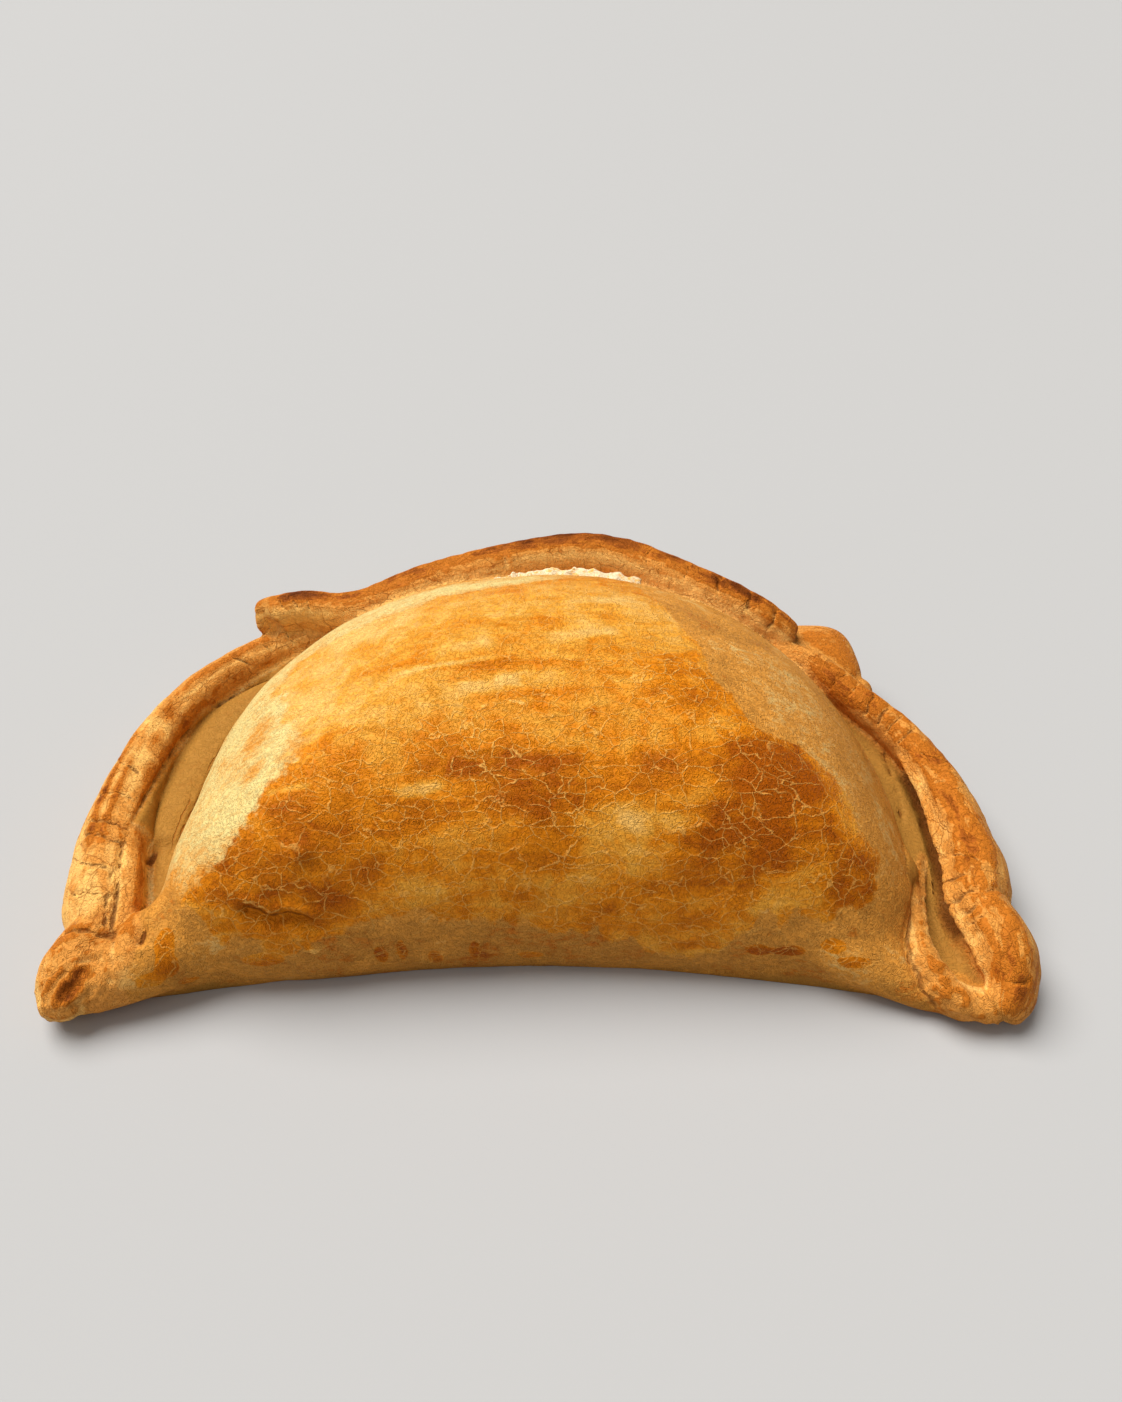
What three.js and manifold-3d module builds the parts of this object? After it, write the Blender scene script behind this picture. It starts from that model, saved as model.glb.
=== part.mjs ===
// A baked half-moon empanada: one solid of folded dough, in millimetres, with +Z up.
// The folded edge of the filled belly faces -Y, and the hem runs round the other side from tip to tip.
import * as THREE from 'three';
import { mergeVertices } from 'three/addons/utils/BufferGeometryUtils.js';
import Module from 'manifold-3d';

const wasm = await Module();
wasm.setup();

// Belly: the filled dome, seen from above as a half-moon about its plan centre
const BELLY_HEIGHT = 44;
const BELLY_CENTRE = new THREE.Vector2(2.2, -14);
const BELLY_PLAN = {
  left: 65.5,
  right: 66,
  back: 63.5,
  front: 27.5,
  leftPower: 2.2,
  rightPower: 2.2,
  leftFrontPower: 5,
  rightFrontPower: 3.6,
  bend: 9,
};
const BELLY_WAIST = { front: 9, side: 8, back: 14 };
const BELLY_PEAK_SHIFT = 12;
const BELLY_PEAK_POWER = 6;
const BELLY_SIDE = { left: { slope: 1.2, power: 1 }, right: { slope: 1.7, power: 4 } };
const BELLY_FOOT_SHARE = 0.86;
const BELLY_STEPS = { round: 76, up: 34 };

// Sine of the angle, measured from the sides towards the front, at which the bend is whole
const BEND_FULL = 0.35;

// Shelf: the lower sheet of dough that comes out from under the belly and carries the hem
const SHELF_CENTRE = new THREE.Vector2(0, -12);
const SHELF_PLAN = {
  left: 79,
  right: 79,
  back: 60,
  front: 28,
  leftPower: 2.9,
  rightPower: 2.5,
  leftFrontPower: 8,
  rightFrontPower: 8,
  bend: 11,
};
const SHELF_TOP = { left: 8, right: 5, back: 33 };
const SHELF_RISE = { left: 2.5, right: 1.5 };
const SHELF_EDGE_POWER = 5;
const SHELF_STEPS = { round: 60, up: 14 };

// Hem: three rolls of folded dough. A station is x, y, z, half the width and half the height.
const HEM_LEFT = [
  [-74.8, -53.0, 4.4, 5.4, 5.0],
  [-74.3, -45.0, 6.1, 6.7, 6.4],
  [-71.8, -37.5, 6.5, 6.4, 6.4],
  [-74.2, -31.0, 6.7, 7.0, 6.5],
  [-77.6, -18.0, 6.7, 6.4, 6.6],
  [-78.6, -3.0, 6.9, 5.8, 6.6],
  [-77.0, 12.0, 7.4, 5.4, 6.6],
  [-71.4, 24.0, 8.6, 5.2, 6.6],
  [-62.0, 32.4, 10.5, 5.0, 6.4],
  [-50.0, 38.0, 12.5, 5.0, 6.2],
  [-41.0, 41.0, 14.0, 5.0, 6.2],
];
const HEM_BACK = [
  [-61.0, 38.0, 19.0, 4.8, 5.6],
  [-50.0, 38.2, 21.2, 4.6, 5.2],
  [-41.0, 36.6, 21.4, 4.8, 5.4],
  [-21.0, 42.4, 24.9, 5.4, 6.3],
  [5.0, 48.6, 27.4, 5.6, 6.6],
  [16.5, 47.8, 27.4, 5.6, 6.6],
  [28.0, 43.4, 25.8, 5.4, 6.5],
  [39.5, 38.0, 23.5, 5.2, 6.2],
  [48.0, 34.2, 20.9, 5.0, 5.8],
  [55.0, 31.4, 17.7, 4.8, 5.4],
];
const HEM_RIGHT = [
  [48.0, 30.0, 16.0, 3.8, 4.4],
  [57.8, 25.6, 15.6, 3.8, 4.4],
  [67.6, 16.0, 12.6, 3.8, 4.6],
  [74.4, 7.7, 10.4, 4.2, 5.0],
  [78.6, -4.0, 8.6, 4.9, 5.8],
  [79.6, -17.0, 7.4, 5.6, 6.5],
  [79.4, -26.0, 7.0, 5.7, 6.6],
  [77.6, -33.0, 6.9, 5.3, 6.2],
  [78.2, -41.5, 6.6, 6.3, 6.6],
  [77.4, -47.5, 5.4, 5.6, 5.6],
  [74.2, -52.4, 3.4, 4.2, 4.2],
];
const HEM_STEPS = { round: 14, along: 44 };
const HEM_LEAN = 1.6;
const HEM_CREST = { height: 0.5, at: 1.18, half: 0.55 };
const HEM_SWELL = { depth: 0.25, wave: 9 };
const NO_CREST = { height: 0, at: 0, half: 1 };
const NO_SWELL = { depth: 0, wave: 1 };
const SWELL_SECOND_WAVE = 1.618;
const SWELL_TWIST = 2;
const BLUNT_END = 9;
const ROUND_END = 4;

// Corners: the two ends of the belly's front fold, tapering out into the tips
const CORNER_LEFT = [
  [-40.0, -31.0, 9.5, 9.5, 9.5],
  [-54.0, -37.3, 8.2, 8.4, 8.2],
  [-65.0, -43.4, 6.2, 6.6, 6.2],
  [-75.0, -49.5, 4.2, 4.2, 4.2],
];
const CORNER_RIGHT = [
  [74.0, -50.0, 3.0, 3.2, 3.0],
  [63.0, -44.8, 3.6, 4.6, 3.8],
  [52.0, -38.3, 7.2, 7.8, 7.2],
  [40.0, -32.0, 9.2, 9.2, 9.2],
];
const CORNER_STEPS = { round: 16, along: 18 };

// Lip: the raised, crumbled edge of the belly's sheet along the open pocket at the right tip
const LIP = [
  [72.6, -17.4, 5.2, 1.8, 2.4],
  [69.4, -25.6, 6.0, 2.2, 3.0],
  [66.0, -34.0, 6.4, 2.6, 3.6],
  [64.4, -41.5, 6.6, 3.0, 3.6],
  [65.6, -46.6, 6.2, 2.8, 3.2],
  [69.4, -49.8, 5.0, 2.8, 3.0],
  [75.0, -50.6, 4.2, 2.8, 2.8],
];
const LIP_STEPS = { round: 8, along: 24 };

// Tear: the strip of raw dough that split open between the belly and the back hem
const TEAR = [
  [-13.0, 31.5, 32.6, 1.1, 1.2],
  [5.0, 34.5, 33.2, 1.9, 1.7],
  [23.0, 32.5, 32.0, 2.4, 2.1],
];
const TEAR_STEPS = { round: 7, along: 24 };
const TEAR_SWELL = { depth: 0.4, wave: 7 };

// Flap: the folded corner of the lower sheet that stands out behind the right end of the back hem
const FLAP_PLAN = {
  left: 24,
  right: 10.5,
  back: 12,
  front: 12,
  leftPower: 2,
  rightPower: 3.6,
  leftFrontPower: 2,
  rightFrontPower: 3,
};
const FLAP_CENTRE = new THREE.Vector3(59.8, 30.6, 12.5);
const FLAP_HALF_HEIGHT = 6;
const FLAP_STEPS = { round: 32, up: 12 };
const FLAP_NUB = { radius: 3, at: new THREE.Vector3(68.6, 21.8, 11.6) };

// Crust: egg-glazed and golden brown
const CRUST_COLOUR = 0xcf8433;
const CRUST_ROUGHNESS = 0.5;

// Base: everything is cut off flat where it stands, and moved so that the middle of its box is the origin
const BASE_SIZE = 400;
const FRAME_SHIFT = new THREE.Vector3(-0.431, -0.7523, 0);

// Closeness at which points count as one, and as lying on a pole
const MERGE_DISTANCE = 1e-4;
const POLE_SHARE = 1e-6;

// Turns a three.js geometry into a solid that can be joined and cut.
function solidOf(geometry) {
  geometry.deleteAttribute('normal');
  geometry.deleteAttribute('uv');
  const merged = mergeVertices(geometry, MERGE_DISTANCE);
  const vertProperties = new Float32Array(merged.attributes.position.array);
  const triVerts = new Uint32Array(merged.index.array);
  return new wasm.Manifold(new wasm.Mesh({ numProp: 3, vertProperties, triVerts }));
}

// Turns a solid back into a three.js geometry.
function geometryOf(solid) {
  const mesh = solid.getMesh();
  const geometry = new THREE.BufferGeometry();
  geometry.setAttribute('position', new THREE.BufferAttribute(mesh.vertProperties, 3));
  geometry.setIndex(new THREE.BufferAttribute(mesh.triVerts, 1));
  return geometry;
}

// Distance from the plan centre to a half-moon outline in the direction of an angle.
function planReach(plan, angle) {
  const c = Math.cos(angle);
  const s = Math.sin(angle);
  const side = c < 0 ? plan.left : plan.right;
  const depth = s < 0 ? plan.front : plan.back;
  const frontPower = c < 0 ? plan.leftFrontPower : plan.rightFrontPower;
  const backPower = c < 0 ? plan.leftPower : plan.rightPower;
  const power = s < 0 ? frontPower : backPower;
  return (Math.abs(c / side) ** power + Math.abs(s / depth) ** power) ** (-1 / power);
}

// Bends the front of a half-moon so that its two tips come forward.
function planBend(plan, angle, x) {
  const share = THREE.MathUtils.smoothstep(-Math.sin(angle), 0, BEND_FULL);
  return -plan.bend * (x / Math.max(plan.left, plan.right)) ** 2 * share;
}

// Moves every point of a unit sphere, given its angle round +Z, its plan share and its height.
function shapedSphere(round, up, place) {
  const geometry = new THREE.SphereGeometry(1, round, up);
  geometry.rotateX(Math.PI / 2);
  const position = geometry.attributes.position;
  for (let i = 0; i < position.count; i += 1) {
    const x = position.getX(i);
    const y = position.getY(i);
    const share = Math.min(1, Math.hypot(x, y));
    const atPole = share < POLE_SHARE;
    const point = place(atPole ? 0 : Math.atan2(y, x), atPole ? 0 : share, position.getZ(i));
    position.setXYZ(i, point.x, point.y, point.z);
  }
  return geometry;
}

// The belly: a steep fold in front, a full crown set towards the back, a rounded foot and a flat base.
function belly() {
  return shapedSphere(BELLY_STEPS.round, BELLY_STEPS.up, (angle, share, height) => {
    const reach = planReach(BELLY_PLAN, angle) * share;
    const x = reach * Math.cos(angle);
    const turned = Math.sin(angle) < 0 ? BELLY_WAIST.front : BELLY_WAIST.back;
    const waist = THREE.MathUtils.lerp(BELLY_WAIST.side, turned, Math.abs(Math.sin(angle)));
    let y = reach * Math.sin(angle) + planBend(BELLY_PLAN, angle, x);
    let z = 0;
    if (height >= 0) {
      const low = waist * share;
      const side = Math.cos(angle) < 0 ? BELLY_SIDE.left : BELLY_SIDE.right;
      const slope = THREE.MathUtils.lerp(1, side.slope, Math.cos(angle) ** 2 * share ** side.power);
      z = low + (BELLY_HEIGHT - low) * height ** slope;
      y += BELLY_PEAK_SHIFT * height ** BELLY_PEAK_POWER;
    } else if (share > BELLY_FOOT_SHARE) {
      const foot = (share - BELLY_FOOT_SHARE) / (1 - BELLY_FOOT_SHARE);
      z = waist * (1 - Math.sqrt(1 - foot * foot));
    }
    return new THREE.Vector3(BELLY_CENTRE.x + x, BELLY_CENTRE.y + y, z);
  });
}

// The shelf: a flat sheet with a rounded edge that rises towards the back, where it meets the hem.
function shelf() {
  return shapedSphere(SHELF_STEPS.round, SHELF_STEPS.up, (angle, share, height) => {
    const reach = planReach(SHELF_PLAN, angle) * share;
    const x = reach * Math.cos(angle);
    const y = reach * Math.sin(angle) + planBend(SHELF_PLAN, angle, x);
    const across = (1 + Math.cos(angle)) / 2;
    const side = THREE.MathUtils.lerp(SHELF_TOP.left, SHELF_TOP.right, across);
    const rise = THREE.MathUtils.lerp(SHELF_RISE.left, SHELF_RISE.right, across);
    const back = Math.max(0, Math.sin(angle)) ** rise;
    const rim = THREE.MathUtils.lerp(side, SHELF_TOP.back, back);
    const top = THREE.MathUtils.lerp(SHELF_TOP.right, rim, share);
    const edge = Math.max(0, 1 - share ** SHELF_EDGE_POWER) ** (1 / SHELF_EDGE_POWER);
    const z = height >= 0 ? (top / 2) * (1 + edge) : (top / 2) * (1 - edge);
    return new THREE.Vector3(SHELF_CENTRE.x + x, SHELF_CENTRE.y + y, z);
  });
}

// A closed roll of dough along its stations, with a raised crest line and soft swellings.
function roll(stations, steps, shape) {
  const path = new THREE.CatmullRomCurve3(stations.map((s) => new THREE.Vector3(s[0], s[1], s[2])));
  const sizes = new THREE.CatmullRomCurve3(stations.map((s) => new THREE.Vector3(s[3], s[4], 0)));
  const length = path.getLength();
  const up = new THREE.Vector3(0, 0, 1);
  return shapedSphere(steps.round, steps.along, (angle, share, height) => {
    const t = Math.acos(THREE.MathUtils.clamp(-height, -1, 1)) / Math.PI;
    const centre = path.getPoint(t);
    const size = sizes.getPoint(t);
    const tangent = path.getTangent(t);
    const outward = new THREE.Vector3().crossVectors(up, tangent).normalize();
    const upward = new THREE.Vector3().crossVectors(tangent, outward);
    const end = t < 0.5 ? shape.startPower : shape.endPower;
    const closing = share === 0 ? 0 : Math.max(0, 1 - Math.abs(2 * t - 1) ** end) ** (1 / end);
    const turn = (2 * Math.PI * length * t) / shape.swell.wave;
    const second = SWELL_SECOND_WAVE * turn + SWELL_TWIST * angle;
    const swell = (shape.swell.depth / 2) * (Math.sin(turn) + Math.sin(second));
    const fromCrest = Math.abs(angle - shape.crest.at) / shape.crest.half;
    const crest = shape.crest.height * Math.max(0, 1 - fromCrest);
    const wide = (size.x + swell + crest) * closing;
    const tall = (size.y + swell + crest) * closing;
    const lean = -shape.lean * closing * Math.sin(angle);
    return centre
      .addScaledVector(outward, wide * Math.cos(angle) + lean)
      .addScaledVector(upward, tall * Math.sin(angle));
  });
}

// The flap: a flattened lobe with squared corners and a small nub at its lower end.
function flap() {
  const lobe = shapedSphere(FLAP_STEPS.round, FLAP_STEPS.up, (angle, share, height) => {
    const reach = planReach(FLAP_PLAN, angle) * share;
    const place = new THREE.Vector3(Math.cos(angle), Math.sin(angle), 0).multiplyScalar(reach);
    return place.add(FLAP_CENTRE).setZ(FLAP_CENTRE.z + FLAP_HALF_HEIGHT * height);
  });
  const nub = new THREE.IcosahedronGeometry(FLAP_NUB.radius, 2);
  nub.translate(FLAP_NUB.at.x, FLAP_NUB.at.y, FLAP_NUB.at.z);
  return solidOf(lobe).add(solidOf(nub));
}

const hemShape = { lean: HEM_LEAN, crest: HEM_CREST, swell: HEM_SWELL };
const softShape = { lean: 0, crest: NO_CREST, startPower: ROUND_END, endPower: ROUND_END };

const hemLeft = roll(HEM_LEFT, HEM_STEPS, { ...hemShape, startPower: ROUND_END, endPower: BLUNT_END });
const hemBack = roll(HEM_BACK, HEM_STEPS, { ...hemShape, startPower: BLUNT_END, endPower: BLUNT_END });
const hemRight = roll(HEM_RIGHT, HEM_STEPS, { ...hemShape, startPower: BLUNT_END, endPower: ROUND_END });
const cornerLeft = roll(CORNER_LEFT, CORNER_STEPS, { ...softShape, swell: NO_SWELL });
const cornerRight = roll(CORNER_RIGHT, CORNER_STEPS, { ...softShape, swell: NO_SWELL });
const lip = roll(LIP, LIP_STEPS, { ...softShape, swell: HEM_SWELL });
const tear = roll(TEAR, TEAR_STEPS, { ...softShape, swell: TEAR_SWELL });

const floor = new THREE.BoxGeometry(BASE_SIZE, BASE_SIZE, BASE_SIZE);
floor.translate(0, 0, -BASE_SIZE / 2);

const dough = [shelf(), hemLeft, hemBack, hemRight, cornerLeft, cornerRight, lip, tear]
  .reduce((whole, piece) => whole.add(solidOf(piece)), solidOf(belly()))
  .add(flap())
  .subtract(solidOf(floor))
  .translate(FRAME_SHIFT.toArray());

const crust = new THREE.MeshStandardMaterial({
  color: CRUST_COLOUR,
  roughness: CRUST_ROUGHNESS,
  metalness: 0,
});
const empanada = new THREE.Mesh(geometryOf(dough), crust);
empanada.name = 'empanada';

const group = new THREE.Group();
group.add(empanada);

export default group;
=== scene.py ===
import math

import bmesh
import bpy
import numpy as np
from mathutils import Matrix, Vector, noise
from mathutils.bvhtree import BVHTree


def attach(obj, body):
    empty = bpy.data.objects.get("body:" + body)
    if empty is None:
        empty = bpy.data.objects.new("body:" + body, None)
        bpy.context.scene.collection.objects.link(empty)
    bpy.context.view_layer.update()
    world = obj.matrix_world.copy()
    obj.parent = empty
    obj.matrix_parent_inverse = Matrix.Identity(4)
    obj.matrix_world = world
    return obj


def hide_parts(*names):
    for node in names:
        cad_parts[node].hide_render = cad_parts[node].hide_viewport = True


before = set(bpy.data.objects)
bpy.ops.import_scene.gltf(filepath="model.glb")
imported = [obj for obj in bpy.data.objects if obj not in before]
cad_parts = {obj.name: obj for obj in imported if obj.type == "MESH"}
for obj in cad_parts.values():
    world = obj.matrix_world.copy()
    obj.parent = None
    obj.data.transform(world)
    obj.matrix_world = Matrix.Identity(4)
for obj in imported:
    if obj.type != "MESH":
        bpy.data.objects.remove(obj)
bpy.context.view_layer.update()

bl_info = {
    "name": "Baked empanada",
    "version": (1, 0, 0),
    "blender": (4, 5, 0),
    "location": "View3D > Sidebar > Empanada",
    "description": "Dresses the packed empanada: folded dough, torn edges and an egg-glazed crust",
    "category": "Object",
}

NODE = "empanada"
BODY = "root"

# Lengths below are in millimetres and angles in radians. The forms are drawn in the drawing's own
# frame, which FRAME_SHIFT moves so that the middle of the box is the origin. Lines and spots on the
# dough are given in the part's frame, after that move.
MM = 0.001
FRAME_SHIFT = np.array([-0.431, -0.7523, 0.0])

# Half-moon plans: reach to each side of the plan centre, roundness of each quarter and the front's bend
BELLY_CENTRE = (2.2, -14)
BELLY_ROUNDNESS = {"back": (2.2, 2.2), "front": (5, 3.6)}
BELLY_WAIST = {"front": 9, "side": 8, "back": 14}
BELLY_PEAK_SHIFT = 12
BELLY_PEAK_POWER = 6
BELLY_SIDE = {"slope": (1.2, 1.7), "power": (1, 4)}
BELLY_FOOT_SHARE = 0.86
SHELF_CENTRE = (0, -12)
SHELF_PLAN = {"left": 79, "right": 79, "back": 60, "front": 28, "bend": 11}
SHELF_ROUNDNESS = {"back": (2.9, 2.5), "front": (8, 8)}
SHELF_TOP = {"left": 8, "right": 5, "back": 33}
SHELF_RISE = {"left": 2.5, "right": 1.5}
SHELF_EDGE_POWER = 5
BEND_FULL = 0.35
UNDERSIDE = 3

# Rolls of dough. A station is x, y, z, half the width and half the height.
HEM_LEFT = (
    (-74.8, -53, 4.4, 5.4, 5), (-74.3, -45, 6.1, 6.7, 6.4), (-71.8, -37.5, 6.5, 6.4, 6.4),
    (-74.2, -31, 6.7, 7, 6.5), (-77.6, -18, 6.7, 6.4, 6.6), (-78.6, -3, 6.9, 5.8, 6.6),
    (-77, 12, 7.4, 5.4, 6.6), (-71.4, 24, 8.6, 5.2, 6.6), (-62, 32.4, 10.5, 5, 6.4),
    (-50, 38, 12.5, 5, 6.2), (-41, 41, 14, 5, 6.2),
)
HEM_BACK = (
    (-61, 38, 19, 4.8, 5.6), (-50, 38.2, 21.2, 4.6, 5.2), (-41, 36.6, 21.4, 4.8, 5.4),
    (-21, 42.4, 24.9, 5.4, 6.3), (5, 48.6, 27.4, 5.6, 6.6), (16.5, 47.8, 27.4, 5.6, 6.6),
    (28, 43.4, 25.8, 5.4, 6.5), (39.5, 38, 23.5, 5.2, 6.2), (48, 34.2, 20.9, 5, 5.8),
    (55, 31.4, 17.7, 4.8, 5.4),
)
HEM_RIGHT = (
    (48, 30, 16, 3.8, 4.4), (57.8, 25.6, 15.6, 3.8, 4.4), (67.6, 16, 12.6, 3.8, 4.6),
    (74.4, 7.7, 10.4, 4.2, 5), (78.6, -4, 8.6, 4.9, 5.8), (79.6, -17, 7.4, 5.6, 6.5),
    (79.4, -26, 7, 5.7, 6.6), (77.6, -33, 6.9, 5.3, 6.2), (79, -41.5, 6.6, 5.6, 6.6),
    (78.6, -47.5, 5.4, 4.6, 5.6), (76.2, -52.4, 3.6, 3.6, 4),
)
CORNER_LEFT = (
    (-40, -31, 9.5, 9.5, 9.5), (-54, -37.3, 8.2, 8.4, 8.2), (-65, -43.4, 6.2, 6.6, 6.2),
    (-75, -49.5, 4.2, 4.2, 4.2),
)
CORNER_RIGHT = (
    (74, -50, 3, 3.2, 3), (63, -44.8, 3.6, 4.6, 3.8), (52, -38.3, 7.2, 7.8, 7.2),
    (40, -32, 9.2, 9.2, 9.2),
)
LIP = (
    (73.4, -17, 2.6, 0.5, 0.9), (69.7, -25, 4, 0.7, 1.3), (66.9, -31.6, 5.8, 1, 2.1),
    (65.2, -37.2, 6.4, 1.3, 2.8), (64.5, -41.2, 6.6, 1.6, 3.1), (65.1, -45.6, 6.2, 2, 3.1),
    (67.6, -49.3, 5.2, 2.1, 2.9), (77, -51.4, 4, 2.3, 2.8),
)
TEAR = ((-13, 31.5, 32.6, 1.1, 1.2), (5, 34.5, 33.2, 1.9, 1.7), (23, 32.5, 32, 2.4, 2.1))
HEM_LEAN = 1.6
HEM_CREST = {"height": 0.5, "at": 1.18, "half": 0.55}
HEM_SWELL = {"depth": 0.05, "wave": 9.0}
TEAR_SWELL = {"depth": 0.4, "wave": 7.0}
NO_SWELL = {"depth": 0.0, "wave": 1.0}
SWELL_SECOND_WAVE = 1.618
SWELL_TWIST = 2
BLUNT_END = 9
ROUND_END = 4

# The folded corner behind the right end of the back hem, and two balls of dough: its nub, and the
# plug that closes the pocket at the right tip
FLAP_CENTRE = (59.8, 30.6, 12.5)
FLAP_PLAN = {"left": 24.0, "right": 10.5, "back": 12.0, "front": 12.0}
FLAP_ROUNDNESS = {"back": (2.0, 3.6), "front": (2.0, 3.0)}
FLAP_HALF_HEIGHT = 6.0
FLAP_NUB = {"radius": 3.0, "at": (68.6, 21.8, 11.6)}
POCKET_END = {"radius": 3.3, "at": (74.8, -47.9, 1.5)}

# Steps round and along each form before the forms are joined
ROLL_STEPS = {
    "hem_left": (64, 260), "hem_back": (64, 260), "hem_right": (64, 240), "corner_left": (64, 80),
    "corner_right": (64, 80), "lip": (32, 140), "tear": (28, 100),
}
BELLY_STEPS = (240, 130)
SHELF_STEPS = (200, 48)
FLAP_STEPS = (64, 32)
BALL_STEPS = 4

# How a point finds its place on a roll or a drawn line: points along each, room round it, the thinnest
# section, points at a time, and the distance given to what is out of reach
ROLL_SAMPLES = 401
ROLL_MARGIN = 12.0
LINE_SAMPLES = 120
LEAST_GIRTH = 0.5
BATCH = 6000
NOWHERE = 99.0

# Distance to a crack or to the belly past which it no longer matters, and how much farther off a crack
# counts where it doesn't show
FAR = 9.0
HIDDEN = 2.0

# Distances off a roll, or across a stain, at which a point stops and starts to belong to it
HEM_EDGE = (1.6, 0.5)
STAIN_EDGE = (1.45, 0.55)
STAIN_RAGGED = 0.22

# Uneven surfaces are sums of soft noise: height, size of the humps and seed
HEM_UNEVEN = ((0.22, 7.0, 11.0), (0.14, 2.6, 5.0), (0.06, 1.3, 7.0))
BELLY_UNEVEN = ((1.0, 17.0, 51.0), (0.45, 7.0, 53.0), (0.12, 2.4, 57.0))
CRUMBS_OF_LIP = ((0.30, 3.0, 41.0), (0.35, 1.4, 43.0))
CRUMBS_OF_TEAR = ((0.5, 2.3, 71.0), (0.4, 1.1, 73.0))
MOTTLE = ((1.0, 9.0, 81.0), (0.6, 4.0, 83.0))

# Cracks across the hems: distance along, slant in mm per radian, first and last angle, and share of
# the full depth
CRACKS = {
    "hem_left": (
        (51, -3.4, 0.8, 2, 0.7), (43.3, -1.2, 0.8, 2.1, 0.6), (36, -2.2, 0.7, 2.2, 1),
        (32.2, -4, 0.8, 2.1, 0.9), (25.2, -4.3, 0.8, 1.9, 0.6), (18.6, -5.4, 0.6, 1.7, 0.6),
        (12.2, 1.7, 0.7, 2.3, 0.8), (59, -2.5, 0.9, 1.6, 0.3), (72, 2, 1.2, 2, 0.3),
        (88, 3.3, 1.4, 2.5, 0.5), (95, 2.5, 1.2, 2.3, 0.4), (101, 2, 1.3, 2.4, 0.4),
    ),
    "hem_back": (
        (6, 2, 1.5, 2.3, 0.6), (9, 2, 1.6, 2.4, 0.6), (12, 2, 1.7, 2.5, 0.5),
        (55.6, 0.5, 1.9, 2.4, 0.9), (88, 1, 1.3, 2.2, 0.3), (97, 1, 1.3, 2.2, 0.3),
        (104.6, 1, 1.2, 2.1, 1.1), (111, 1, 1.2, 2.3, 0.5), (117, 0, 1.4, 2.6, 0.6),
    ),
    "hem_right": (
        (19, 0, 1.2, 2.6, 0.4), (22.5, 0.5, 1.2, 2.7, 0.4), (27, 0.5, 1.2, 2.7, 0.6),
        (30.5, 0.3, 1.2, 2.7, 0.6), (33.7, 0.5, 1.2, 2.6, 0.6), (38, 0.5, 1.3, 2.6, 0.6),
        (45.6, -4.6, 0.9, 1.9, 0.9), (52.4, 0, 1.6, 2.05, 0.5), (72.8, -3.6, 1.5, 2.5, 0.8),
        (75.6, 0, 1.9, 2.95, 0.8), (78.5, 0, 1.7, 2.9, 1), (80.8, 0, 1.9, 2.7, 0.9),
        (82.8, 0, 1.95, 2.6, 0.7), (79, 2, 0.2, 1.5, 1.2), (94, 1.5, 0.9, 1.6, 0.6),
    ),
}
CRACK = {
    "half": 0.40, "step": 0.25, "step_reach": 2.5, "upright": 1.5, "fade": 0.12,
    "wobble": (0.6, 2.2, 3.0),
}

# Folds along the hems: angle, first and last distance along, height of the edge and how sharp it is
FOLDS = {
    "hem_left": (
        (1.18, 30, 62, 0.5, 0.09), (1.5, 28, 70, 0.4, 0.08), (1.62, 62, 108, 0.35, 0.12),
    ),
    "hem_back": (
        (2.12, 12, 121, 0.12, 0.1), (1.2, 30, 115, 0.2, 0.14),
    ),
    "hem_right": (
        (2.12, 42, 76, 0.4, 0.12), (1.45, 44, 90, 0.25, 0.12), (2.2, 80, 92, 0.3, 0.1),
    ),
}
FOLD = {"fade": 5.0, "drift": (0.10, 9.0, 21.0)}

# Inner edge of the right hem: crumbled, and hollow underneath until shortly before the right tip, with
# painted shadow in the hollow
RIGHT_EDGE = {
    "along": (42.0, 96.0), "angle": 2.80, "half": 0.14, "height": 0.9, "crumbs": (0.4, 1.5, 45.0),
    "wander": (0.06, 3.0, 46.0), "under": (0.22, 1.2), "under_ends": (85.0, 77.0), "undercut": 1.8,
}

# Lip of the pocket: how it rises beside the belly, how far the pocket's floor drops, the seam at its foot,
# and the place where it closes against the hem
LIP_SIDE = {"rise": 1.2, "drop": 1.1, "seam": 0.5, "crease": 0.8}
LIP_END = {"at": (72.4, -50.0, 6.6), "reach": (4.2, 1.8)}
# Stretches of the lip by distance along it, each with the soft margin of its ends, and where it grows
LIP_RUN = {"pocket": (4.0, 30.0, 5.0), "beside": (2.0, 14.0, 3.0), "seam": (13.0, 37.0, 3.0)}
LIP_GROWS = (2.0, 14.0)

# Lines on the slab at the left tip: stations, half width and height, which is negative for a groove
SLAB_GROOVES = (
    (((-72.3, -29.8, 13.1), (-70.9, -36.6, 12.8), (-69.5, -42.1, 12)), 0.55, -0.45),
    (((-73.2, -19.6, 12.1), (-72.2, -25.6, 12.5), (-69.9, -34.2, 12.6), (-68.6, -41, 11.9),
      (-66.5, -47.4, 11.3)), 0.6, -0.7),
    (((-69.7, -20.8, 7.1), (-66.9, -33, 7.3), (-64.6, -39, 10.5), (-62.7, -43.3, 13.4),
      (-62.9, -46.2, 12.2)), 0.9, -1.3),
    (((-70.7, -23.7, 10.8), (-67.8, -32.7, 10.8), (-66, -39, 11.8), (-65.4, -44, 12.5)), 1.1, 0.35),
)
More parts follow.
